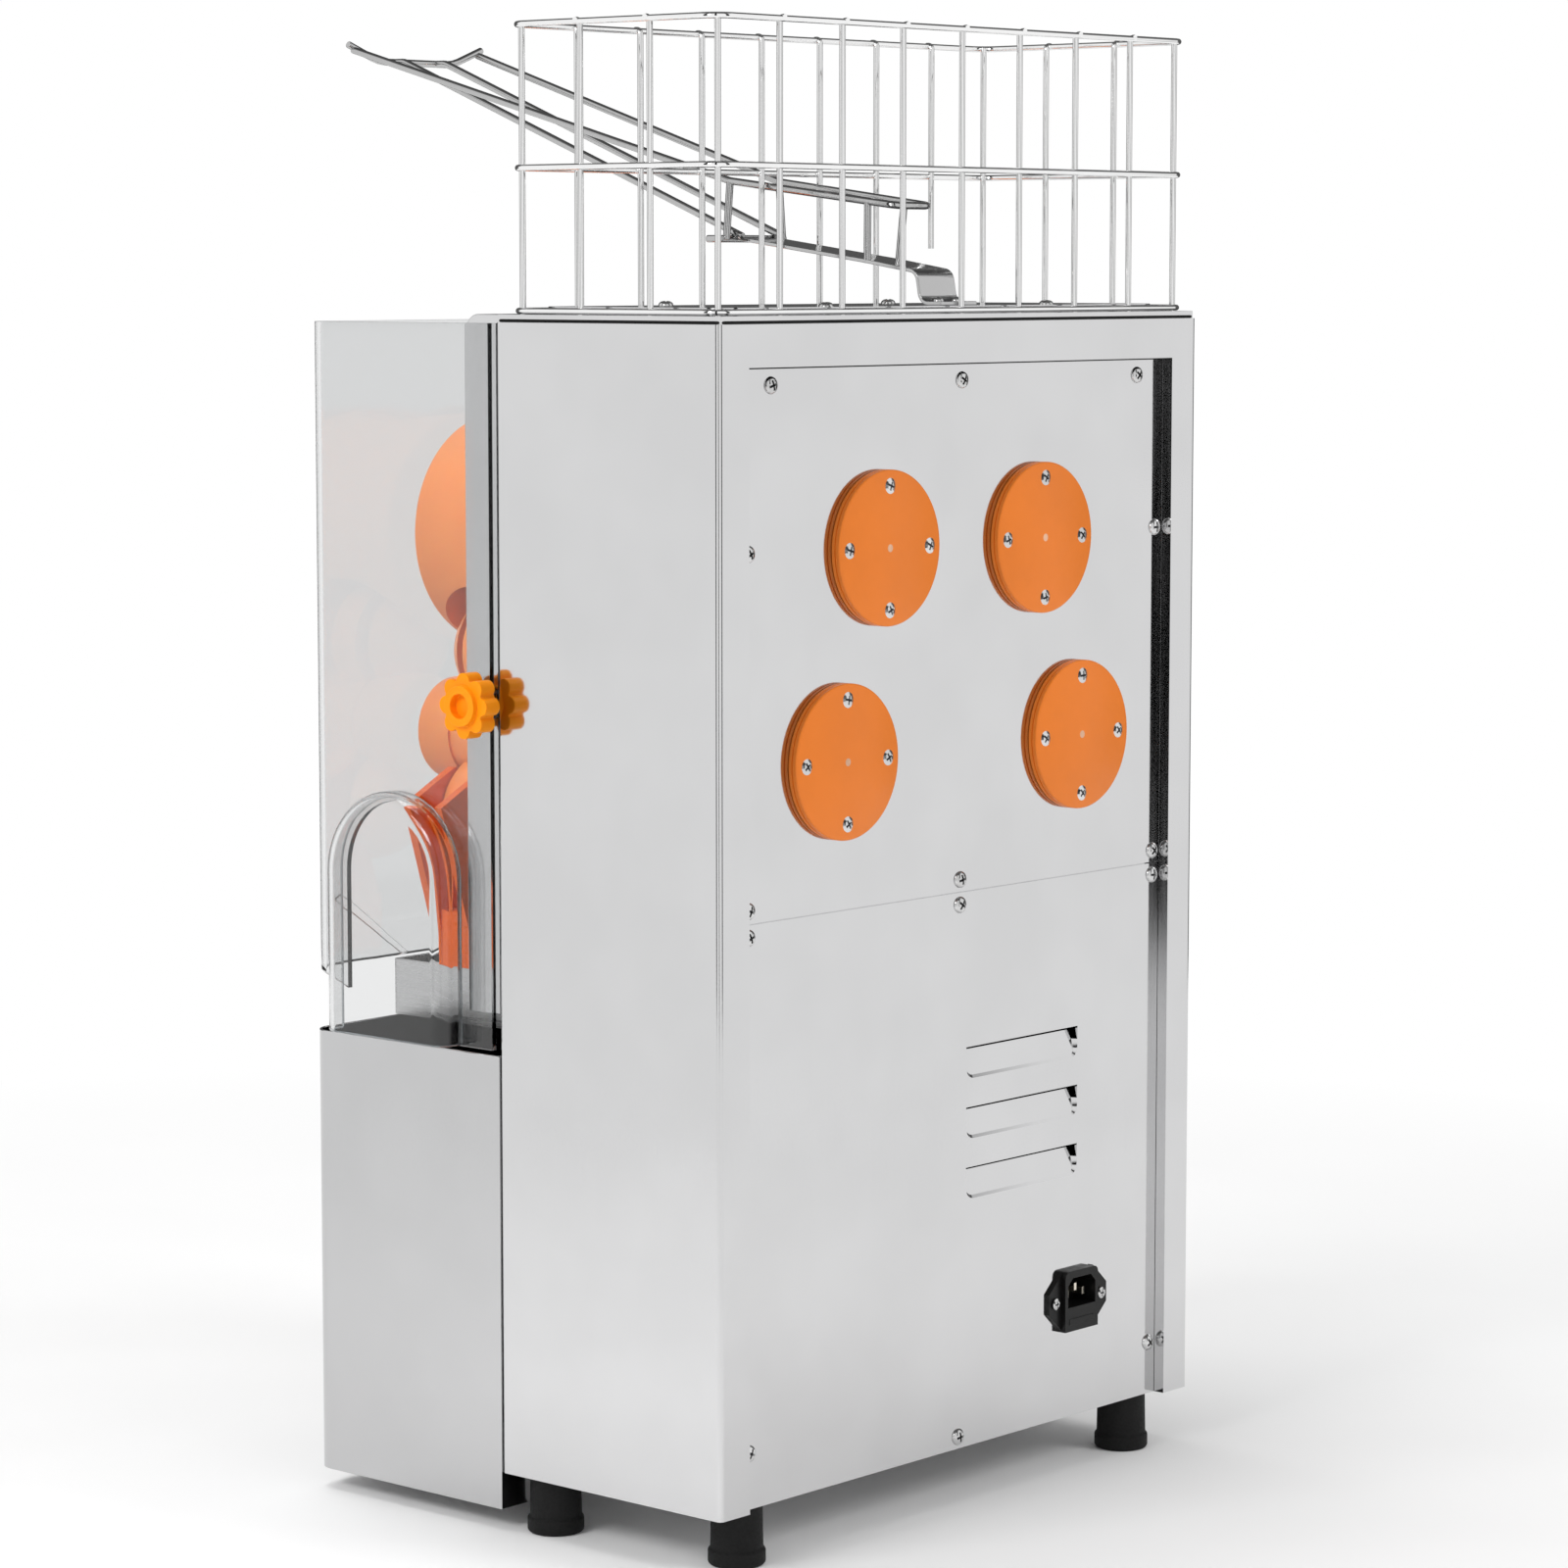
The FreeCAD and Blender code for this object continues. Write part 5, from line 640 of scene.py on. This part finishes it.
def basket():
    """The wire basket: three hoops, uprights that hook over the top one, a short loose wire."""
    low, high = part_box("basket")
    inset = Vector((WIRE_RADIUS, WIRE_RADIUS, 0))
    ring_low, ring_high = low + inset, high - inset
    foot = low.z
    bottom = foot + HOOP_FOOT_RISE
    top = high.z - WIRE_RADIUS
    bm = bmesh.new()
    for z in (bottom, bottom + HOOP_MIDDLE_RISE, top):
        hoop(bm, ring_low, ring_high, z, WIRE_RADIUS, HOOP_CORNER)
    weld = WIRE_RADIUS * WELD_SHARE
    crest = top + WIRE_RADIUS * CREST_SHARE
    hook = WIRE_RADIUS * HOOK_SHARE
    reach = hook * HOOK_REACH_SHARE
    post = HOOP_CORNER * CORNER_POST_SHARE
    for x in (ring_low.x + post, ring_high.x - post):
        for y in (ring_low.y + post, ring_high.y - post):
            wire(bm, [Vector((x, y, foot)), Vector((x, y, crest))], WIRE_RADIUS)
    for side in (-1, 1):
        edge = ring_high.y if side > 0 else ring_low.y
        for column in range(-WIRE_COLUMNS, WIRE_COLUMNS + 1):
            short = side < 0 and column == SHORT_WIRE_COLUMN
            start = SHORT_WIRE_Z if short else foot
            x, y = column * WIRE_PITCH, edge - weld * side
            wire(bm, [Vector((x, y, start)), Vector((x, y, crest)),
                      Vector((x, y + reach * side, crest))], WIRE_RADIUS, hook)
        edge = ring_high.x if side > 0 else ring_low.x
        for share in SIDE_SHARES:
            x, y = edge - weld * side, ring_low.y + (ring_high.y - ring_low.y) * share
            wire(bm, [Vector((x, y, foot)), Vector((x, y, crest)),
                      Vector((x + reach * side, y, crest))], WIRE_RADIUS, hook)
    finished(bm, "basket_wires", FINISHES["wire_steel"], "cabinet", "wire_steel", "basket")


def ramp_point(inset, z, shift=0.0):
    """A place on the ramp by its distance in millimetres forward of the rear face."""
    return Vector((RAMP_X + shift * MM, CAD_REAR - inset * MM, z * MM))


def feed_ramp():
    """The wire ramp on its bent strap foot."""
    bm = bmesh.new()
    strap = [ramp_point(28, 636), ramp_point(42, 636), ramp_point(45, 652.5),
             ramp_point(80, 658), ramp_point(171, 670.2)]
    run = (strap[1] - strap[0]).normalized()
    start = flat_section(bm, strap[0], run, STRAP_WIDTH, STRAP_THICKNESS)
    end = follow(bm, start, strap, STRAP_BEND)
    for ring in (start, end):
        bmesh.ops.contextual_create(bm, geom=ring)
    plate = bmesh.ops.create_cube(bm, size=1.0, matrix=Matrix.Translation(
        ramp_point(177, 670)) @ Matrix.Diagonal((*CROSS_PLATE, 1)))
    bmesh.ops.bevel(bm, geom=edges_round(plate["verts"]), offset=CROSS_PLATE_EDGE, segments=3,
                    profile=0.5, affect="EDGES", material=-1)
    for sign in (-1, 1):
        gap, knee, front, rear = 16.5 * sign, 20 * sign, 50 * sign, 14 * sign
        wire(bm, [ramp_point(165, 671.2, gap), ramp_point(424, 771.4, gap),
                  ramp_point(432, 771.4, gap)], RAMP_RADIUS, 10 * MM)
        wire(bm, [ramp_point(59, 687, 0), ramp_point(59, 687, rear), ramp_point(171, 701, knee),
                  ramp_point(432, 777.5, front)], RAMP_RADIUS, 6 * MM)
        wire(bm, [ramp_point(171, 669.2, 23 * sign), ramp_point(171, 701, knee)], RAMP_RADIUS)
        wire(bm, [ramp_point(80, 657, 13 * sign), ramp_point(78, 689, 15 * sign)], RAMP_RADIUS)
    half = 53.5
    wire(bm, [ramp_point(432, 780.4, -half), ramp_point(432, 771.4, -half * 0.55),
              ramp_point(432, 771.4, half * 0.55), ramp_point(432, 780.4, half)],
         RAMP_RADIUS, 30 * MM)
    piece = finished(bm, "ramp_wires", FINISHES["ramp_steel"], "cabinet", "wire_steel",
                     "feed_ramp")
    softened(piece, RAMP_SOFT_EDGE)


# Covers and knobs

def round_covers():
    """The four turned covers over the bearings, each with a scuffed mark in its middle."""
    for where in ("upper_right", "upper_left", "lower_right", "lower_left"):
        node = f"bearing_cover_{where}"
        low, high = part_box(node)
        radius = (high.x - low.x) / 2
        depth = high.y - low.y
        middle = (low + high) / 2
        stand = Matrix.Translation((middle.x, low.y, middle.z)) @ OUTWARD
        bm = bmesh.new()
        lathe(bm, [(0, 0), (radius * 0.985, 0), (radius, depth * 0.08), (radius, depth * 0.38),
                   (radius * 0.984, depth * 0.42), (radius * 0.984, depth * 0.5),
                   (radius, depth * 0.54), (radius, depth * 0.88), (radius * 0.992, depth * 0.96),
                   (radius * 0.98, depth), (0, depth)], steps=COVER_STEPS)
        bmesh.ops.transform(bm, matrix=stand, verts=bm.verts)
        finished(bm, f"{node}_turned", FINISHES["orange_plastic"], "cabinet",
                 "orange_plastic", node)
        bm = bmesh.new()
        lathe(bm, [(0, depth + 0.2 * MM), (1.0 * MM, depth + 0.18 * MM),
                   (1.9 * MM, depth + 0.08 * MM), (2.4 * MM, depth - 0.2 * MM)],
              steps=MARK_STEPS)
        bmesh.ops.transform(bm, matrix=stand, verts=bm.verts)
        finished(bm, f"centre_mark_{where}", FINISHES["scuffed_plastic"], "cabinet",
                 "orange_plastic")


def louvred_panel():
    """The lower panel with three pressed louvres and the opening for the inlet."""
    low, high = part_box("lower_rear_panel")
    inlet_low, inlet_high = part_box("inlet_housing")
    front = high.y
    centre = Vector(((low.x + high.x) / 2, front, (low.z + high.z) / 2))
    size = Matrix.Diagonal((high.x - low.x, high.z - low.z, 1, 1))
    bm = bmesh.new()
    bmesh.ops.create_grid(bm, x_segments=1, y_segments=1, size=0.5,
                          matrix=Matrix.Translation(centre) @ OUTWARD @ size)
    rows = [(LOUVRE_TOP - LOUVRE_PITCH * step - LOUVRE_HEIGHT, LOUVRE_TOP - LOUVRE_PITCH * step)
            for step in range(LOUVRES)]
    hole = (inlet_low.z + INLET_HOLE_RISE, inlet_high.z - INLET_HOLE_RISE)
    for z in sorted({*hole, *(z for row in rows for z in row)}):
        slice_faces(bm, list(bm.faces), Vector((0, 0, z)), Vector((0, 0, 1)))
    for x in (inlet_low.x + INLET_HOLE_INSET, inlet_high.x - INLET_HOLE_INSET):
        slice_faces(bm, faces_between(bm, 2, *hole), Vector((x, 0, 0)), Vector((1, 0, 0)))
    middle = (inlet_low.x + inlet_high.x) / 2
    opening = [face for face in faces_between(bm, 2, *hole)
               if abs(face.calc_center_median().x - middle) < 2 * MM]
    bmesh.ops.delete(bm, geom=opening, context="FACES")
    for bottom, top in rows:
        for x in (LOUVRE_START, LOUVRE_END):
            slice_faces(bm, faces_between(bm, 2, bottom, top), Vector((x, 0, 0)),
                        Vector((1, 0, 0)))
        press_louvre(bm, bottom, top)
    piece = finished(bm, "lower_rear_panel_pressed", FINISHES["polished_steel"], "cabinet",
                     "polished_steel", "lower_rear_panel")
    sheet = piece.modifiers.new("sheet", "SOLIDIFY")
    sheet.thickness = SHEET
    sheet.offset = -1.0
    softened(piece, PANEL_SOFT_EDGE, 3, SHALLOW_ANGLE)


def louvre_face(bm, bottom, top):
    """The flat of one louvre."""
    middle = (LOUVRE_START + LOUVRE_END) / 2
    row = faces_between(bm, 2, bottom, top)
    return min(row, key=lambda face: abs(face.calc_center_median().x - middle))


def press_louvre(bm, bottom, top):
    """Press one louvre inward so that it leans away from its rounded lower edge."""
    flat = louvre_face(bm, bottom, top)
    corners = [vert for vert in flat.verts if vert.co.z < bottom + 0.1 * MM]
    bmesh.ops.bevel(bm, geom=corners, offset=LOUVRE_CORNER, segments=5, profile=0.5,
                    affect="VERTICES", material=-1)
    flat = louvre_face(bm, bottom, top)
    walls = bmesh.ops.inset_region(bm, faces=[flat], thickness=LOUVRE_WALL, depth=-LOUVRE_DEPTH,
                                   use_even_offset=True)["faces"]
    hinge = Vector((0, flat.calc_center_median().y, min(vert.co.z for vert in flat.verts)))
    bmesh.ops.rotate(bm, verts=list(flat.verts), cent=hinge,
                     matrix=Matrix.Rotation(LOUVRE_LEAN, 3, "X"))
    line = top - LOUVRE_HEIGHT * LOUVRE_OPEN_SHARE
    slice_faces(bm, walls, Vector((0, 0, line)), Vector((0, 0, 1)))
    rim = hinge.y + LOUVRE_DEPTH * LOUVRE_RIM_SHARE
    cut = [face for face in faces_between(bm, 2, line, top)
           if face is not flat and face.calc_center_median().y < rim
           and face.normal.y < 0.999]
    bmesh.ops.delete(bm, geom=cut, context="FACES")


def inlet():
    """The mains inlet: thin ears, a raised block and its socket."""
    low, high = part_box("inlet_housing")
    middle = (low + high) / 2
    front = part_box("fuse_drawer")[1].y - BLOCK_BEHIND_DRAWER
    bm = bmesh.new()
    inlet_ears(bm, middle, (high - low) / 2)
    inlet_block(bm, middle, (front + low.y) / 2, front - low.y, high.z - low.z)
    press_socket(bm, Vector((middle.x, front, middle.z + SOCKET_RISE)))
    piece = finished(bm, "inlet_block", FINISHES["black_plastic"], "cabinet", "black_plastic",
                     "inlet_housing")
    softened(piece, INLET_SOFT_EDGE)


def inlet_ears(bm, middle, half):
    """The two screw ears, cut to a point on each side and open behind the block."""
    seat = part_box("lower_rear_panel")[1].y
    bmesh.ops.create_cube(bm, size=1.0, matrix=Matrix.Translation(
        (middle.x, seat + EAR_THICKNESS / 2, middle.z)) @ Matrix.Diagonal(
            (half.x * 2, EAR_THICKNESS, half.z * 2, 1)))
    for x in (middle.x - EAR_INNER, middle.x + EAR_INNER):
        slice_faces(bm, list(bm.faces), Vector((x, 0, 0)), Vector((1, 0, 0)))
    behind = [face for face in bm.faces
              if abs(face.calc_center_median().x - middle.x) < EAR_INNER - WELD_DISTANCE]
    bmesh.ops.delete(bm, geom=behind, context="FACES")
    for i in (-1, 1):
        for j in (-1, 1):
            tip = Vector((half.x * i, 0, EAR_TIP_HALF * j))
            shoulder = Vector((EAR_SHOULDER * i, 0, half.z * j))
            along = shoulder - tip
            normal = Vector((-along.z, 0, along.x)).normalized()
            if normal.dot(tip) < 0:
                normal = -normal
            made = bmesh.ops.bisect_plane(bm, geom=[*bm.verts, *bm.edges, *bm.faces],
                                          plane_co=middle + tip, plane_no=normal,
                                          clear_outer=True, dist=CUT_DISTANCE)
            bmesh.ops.contextual_create(bm, geom=edges_of(made["geom_cut"]))


def inlet_block(bm, middle, y, depth, height):
    """The raised block, with its two upper corners taken off."""
    block = bmesh.ops.create_cube(bm, size=1.0, matrix=Matrix.Translation(
        (middle.x, y, middle.z)) @ Matrix.Diagonal(
            (BLOCK_WIDTH, depth, height - BLOCK_SHORTER, 1)))
    shoulders = [edge for edge in edges_round(block["verts"])
                 if all(vert.co.z > middle.z for vert in edge.verts)
                 and abs(edge.verts[0].co.y - edge.verts[1].co.y) > MM]
    bmesh.ops.bevel(bm, geom=shoulders, offset=BLOCK_CORNER, segments=3, profile=0.5,
                    affect="EDGES", material=-1)


def press_socket(bm, centre):
    """Press the socket into the front face of the block, round a point on that face."""
    low, high = centre.z - SOCKET_HALF_HEIGHT, centre.z + SOCKET_HALF_HEIGHT

    def front_faces():
        return [face for face in bm.faces if face.normal.y > 0.99
                and face.calc_center_median().y > centre.y - WELD_DISTANCE]

    def mouth():
        return min(front_faces(), key=lambda face: (face.calc_center_median() - centre).length)

    for z in (low, high):
        slice_faces(bm, front_faces(), Vector((0, 0, z)), Vector((0, 0, 1)))
    for x in (centre.x - SOCKET_HALF_WIDTH, centre.x + SOCKET_HALF_WIDTH):
        row = [face for face in front_faces() if low < face.calc_center_median().z < high]
        slice_faces(bm, row, Vector((x, 0, 0)), Vector((1, 0, 0)))
    corners = [vert for vert in mouth().verts if vert.co.z > centre.z]
    bmesh.ops.bevel(bm, geom=corners, offset=SOCKET_CORNER, segments=1, profile=0.5,
                    affect="VERTICES", material=-1)
    bmesh.ops.inset_region(bm, faces=[mouth()], thickness=SOCKET_TAPER, depth=-SOCKET_DEPTH)


def lid_shade_strip():
    """A dark rubber line under the rim of the top cover, painted shade for the gap there."""
    low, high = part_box("top_cover")
    bm = bmesh.new()
    hoop(bm, low, high, low.z + LID_SHADE_RISE, LID_SHADE_RADIUS, LID_SHADE_CORNER)
    finished(bm, "lid_joint_seal", FINISHES["black_rubber"], "cabinet", "black_rubber")


def window_shade_strip():
    """A thin dark strip along the top of the rear window, painted shade for the gap between frame
    and panel.
    """
    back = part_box("upper_rear_panel")[1].y
    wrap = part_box("cabinet_wrap")[1]
    front = wrap.y - WINDOW_SHADE_STRIP_BACK
    place = Matrix.Translation((0, (front + back) / 2, wrap.z - FRAME_TOP - WINDOW_SHADE_STRIP_DROP))
    size = Matrix.Diagonal((2 * (wrap.x - FRAME_SIDE), front - back, WINDOW_SHADE_STRIP, 1))
    bm = bmesh.new()
    bmesh.ops.create_cube(bm, size=1.0, matrix=place @ size)
    bmesh.ops.bevel(bm, geom=list(bm.edges), offset=WINDOW_SHADE_STRIP_EDGE, segments=2, profile=0.5,
                    affect="EDGES", material=-1)
    finished(bm, "window_top_seal", FINISHES["black_rubber"], "cabinet", "black_rubber")


# How far each node's edges are rounded, in millimetres
SOFT_EDGES = {
    "cabinet_wrap": 0.7, "upper_rear_panel": 0.35, "front_housing": 0.5, "top_cover": 1.4,
    "peel_bin_right": 0.5, "peel_bin_left": 0.5, "fuse_drawer": 0.3, "juice_tray": 0.6,
    "feet": 1.0, "star_knob_right": 1.2, "star_knob_left": 1.2, "clear_cover": 0.9,
    "outlet_hood_right": 1.2, "outlet_hood_left": 1.2, "ejector_right": 0.8,
    "ejector_left": 0.8, "button_plate": 0.5, "strainer_drawer": 0.4, "tap_body": 0.4,
    "tap_lever": 0.5, "base_pan": 0.4, "knife": 0.2,
}

# The nodes whose finish isn't the one of their slot
OWN_FINISHES = {
    "star_knob_right": "knob_plastic", "star_knob_left": "knob_plastic",
    # The bins take a darker copy of the polished steel, painted shade
    "peel_bin_right": "bin_steel_shaded", "peel_bin_left": "bin_steel_shaded",
}


def node_slots():
    """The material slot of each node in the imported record."""
    return {entry["node"]: entry["material_slot"] for entry in frame["record"]["subparts"]}


def dress_nodes():
    """Rounded edges on what shows, and a finish on every CAD node."""
    slots = node_slots()
    for node, width in SOFT_EDGES.items():
        finish = OWN_FINISHES.get(node, slots[node])
        edged(node, slots[node], finish, width * MM, 3 if width > SMALL_EDGE else 2)
    for node, item in NODES.items():
        item.data.materials.clear()
        item.data.materials.append(FINISHES[slots[node]])


# Studio

def floor():
    """A pale round floor that fades into the white of the studio."""
    bm = bmesh.new()
    bmesh.ops.create_circle(bm, cap_ends=True, radius=FLOOR_RADIUS, segments=96)
    mesh = bpy.data.meshes.new("floor")
    bm.to_mesh(mesh)
    bm.free()
    item = bpy.data.objects.new("floor", mesh)
    bpy.context.scene.collection.objects.link(item)
    material, tree, shader = blank_material("pale_floor")
    tone = tinted(tree, grain(tree, 3, detail=2.0), (0.9, 0.9, 0.9), (0.93, 0.93, 0.93))
    tree.links.new(tone, shader.inputs["Base Color"])
    shader.inputs["Roughness"].default_value = 0.85
    shader.inputs["Specular IOR Level"].default_value = 0.1
    place = linked(tree, "ShaderNodeTexCoord")
    length = linked(tree, "ShaderNodeVectorMath", operation="LENGTH")
    tree.links.new(place.outputs["Object"], length.inputs[0])
    far = ranged(tree, length.outputs["Value"], 0.0, 1.0, FLOOR_FADE_START, FLOOR_FADE_END)
    seen = seen_rays(tree)
    both = linked(tree, "ShaderNodeMath", operation="MULTIPLY")
    tree.links.new(far, both.inputs[0])
    tree.links.new(seen, both.inputs[1])
    white = linked(tree, "ShaderNodeEmission", Strength=1.0)
    mix = linked(tree, "ShaderNodeMixShader")
    tree.links.new(both.outputs["Value"], mix.inputs["Fac"])
    tree.links.new(shader.outputs["BSDF"], mix.inputs[1])
    tree.links.new(white.outputs["Emission"], mix.inputs[2])
    tree.links.new(mix.outputs["Shader"], tree.nodes["Material Output"].inputs["Surface"])
    mesh.materials.append(material)


def seen_rays(tree):
    """One for rays from the camera, from gloss or through clear parts."""
    path = linked(tree, "ShaderNodeLightPath")
    first = linked(tree, "ShaderNodeMath", operation="MAXIMUM")
    second = linked(tree, "ShaderNodeMath", operation="MAXIMUM")
    tree.links.new(path.outputs["Is Camera Ray"], first.inputs[0])
    tree.links.new(path.outputs["Is Glossy Ray"], first.inputs[1])
    tree.links.new(first.outputs["Value"], second.inputs[0])
    tree.links.new(path.outputs["Is Transmission Ray"], second.inputs[1])
    return second.outputs["Value"]


def world_value(tree, operation, first, second):
    """Two numbers put together."""
    node = linked(tree, "ShaderNodeMath", operation=operation)
    for socket, value in zip(node.inputs, (first, second)):
        if isinstance(value, float):
            socket.default_value = value
        else:
            tree.links.new(value, socket)
    return node.outputs["Value"]


def bearing_of(tree, level, aim):
    """The cosine of the angle between a level direction and another, seen from above."""
    node = linked(tree, "ShaderNodeVectorMath", operation="DOT_PRODUCT")
    node.inputs[1].default_value = Vector((aim[0], aim[1], 0)).normalized()
    tree.links.new(level, node.inputs[0])
    return node.outputs["Value"]


def cosines(degrees):
    """The cosines of some angles in degrees."""
    return [math.cos(math.radians(angle)) for angle in degrees]


def studio_world():
    """White all round, with the dark places of a real studio for reflections only."""
    world = bpy.data.worlds.new("studio")
    bpy.context.scene.world = world
    world.use_nodes = True
    tree = world.node_tree
    background = tree.nodes["Background"]
    background.inputs["Color"].default_value = (1, 1, 1, 1)
    place = linked(tree, "ShaderNodeTexCoord")
    split = linked(tree, "ShaderNodeSeparateXYZ")
    tree.links.new(place.outputs["Generated"], split.inputs["Vector"])
    flat = linked(tree, "ShaderNodeVectorMath", operation="MULTIPLY")
    flat.inputs[1].default_value = (1, 1, 0)
    tree.links.new(place.outputs["Generated"], flat.inputs[0])
    level = linked(tree, "ShaderNodeVectorMath", operation="NORMALIZE")
    tree.links.new(flat.outputs["Vector"], level.inputs[0])
    ahead = bearing_of(tree, level.outputs["Vector"], EYE_BACK)
    corner = bearing_of(tree, level.outputs["Vector"], EYE - CHANNEL)
    ceiling = ranged(tree, split.outputs["Z"], 1.0, CEILING_LEVEL, *CEILING_RISE)
    behind = ranged(tree, ahead, BEHIND_LEVEL, 1.0, *cosines(BEHIND_ANGLES))
    gap = ranged(tree, corner, 1.0, GAP_LEVEL, *cosines(GAP_ANGLES))
    near = ranged(tree, ahead, 1.0, SIDE_LEVEL, *cosines(SIDE_NEAR_ANGLES))
    far = ranged(tree, ahead, SIDE_LEVEL, 1.0, *cosines(SIDE_FAR_ANGLES))
    sides = world_value(tree, "MAXIMUM", near, far)
    dark = world_value(tree, "MULTIPLY", world_value(tree, "MINIMUM", ceiling, behind),
                       world_value(tree, "MULTIPLY", gap, sides))
    path = linked(tree, "ShaderNodeLightPath")
    glossy = linked(tree, "ShaderNodeMix", data_type="FLOAT")
    mirrored = world_value(tree, "SUBTRACT", path.outputs["Is Glossy Ray"],
                           path.outputs["Is Transmission Ray"])
    tree.links.new(world_value(tree, "MAXIMUM", mirrored, 0.0), glossy.inputs[0])
    glossy.inputs[2].default_value = 1.0
    tree.links.new(dark, glossy.inputs[3])
    strength = linked(tree, "ShaderNodeMix", data_type="FLOAT")
    tree.links.new(seen_rays(tree), strength.inputs[0])
    strength.inputs[2].default_value = SKY_LEVEL
    tree.links.new(glossy.outputs[0], strength.inputs[3])
    tree.links.new(strength.outputs[0], background.inputs["Strength"])


def softbox(name, place, size, power, mirrored):
    """A square lamp aimed at the middle of the machine."""
    light = bpy.data.lights.new(name, "AREA")
    light.shape = "SQUARE"
    light.size = size
    light.energy = power
    item = bpy.data.objects.new(name, light)
    item.location = place
    item.visible_glossy = mirrored
    aim = Vector(place) - LAMP_AIM
    item.rotation_euler = aim.to_track_quat("Z", "Y").to_euler()
    bpy.context.scene.collection.objects.link(item)


def lights():
    """Two softboxes beside the camera, one overhead, and a small one that shows as a glint."""
    softbox("key_light", (2.4, -0.2, 1.9), 0.9, 23, False)
    softbox("side_light", (-0.8, 2.4, 1.8), 0.9, 21, False)
    softbox("top_light", (0.2, -0.6, 2.6), 1.2, 20, False)
    softbox("glint_light", (2.1, 0.3, 1.5), 0.55, 7, True)


def camera():
    """The camera at the photograph's place."""
    data = bpy.data.cameras.new("camera")
    data.lens = LENS
    data.sensor_width = SENSOR
    item = bpy.data.objects.new("camera", data)
    item.location = EYE
    item.rotation_euler = EYE_BACK.to_track_quat("Z", "Y").to_euler()
    bpy.context.scene.collection.objects.link(item)
    bpy.context.scene.camera = item


# Build

camera()
lights()
studio_world()
floor()
dress_nodes()
screws("rear_panel_screws", "Y", PANEL_SCREW_HEAD, True)
screws("top_cover_screws", "Z", COVER_SCREW_HEAD, True)
screws("countersunk_screws", "Y", 0.0, False)
basket()
feed_ramp()
round_covers()
louvred_panel()
inlet()
window_shade_strip()
lid_shade_strip()

scene = bpy.context.scene
scene.view_settings.view_transform = "Standard"
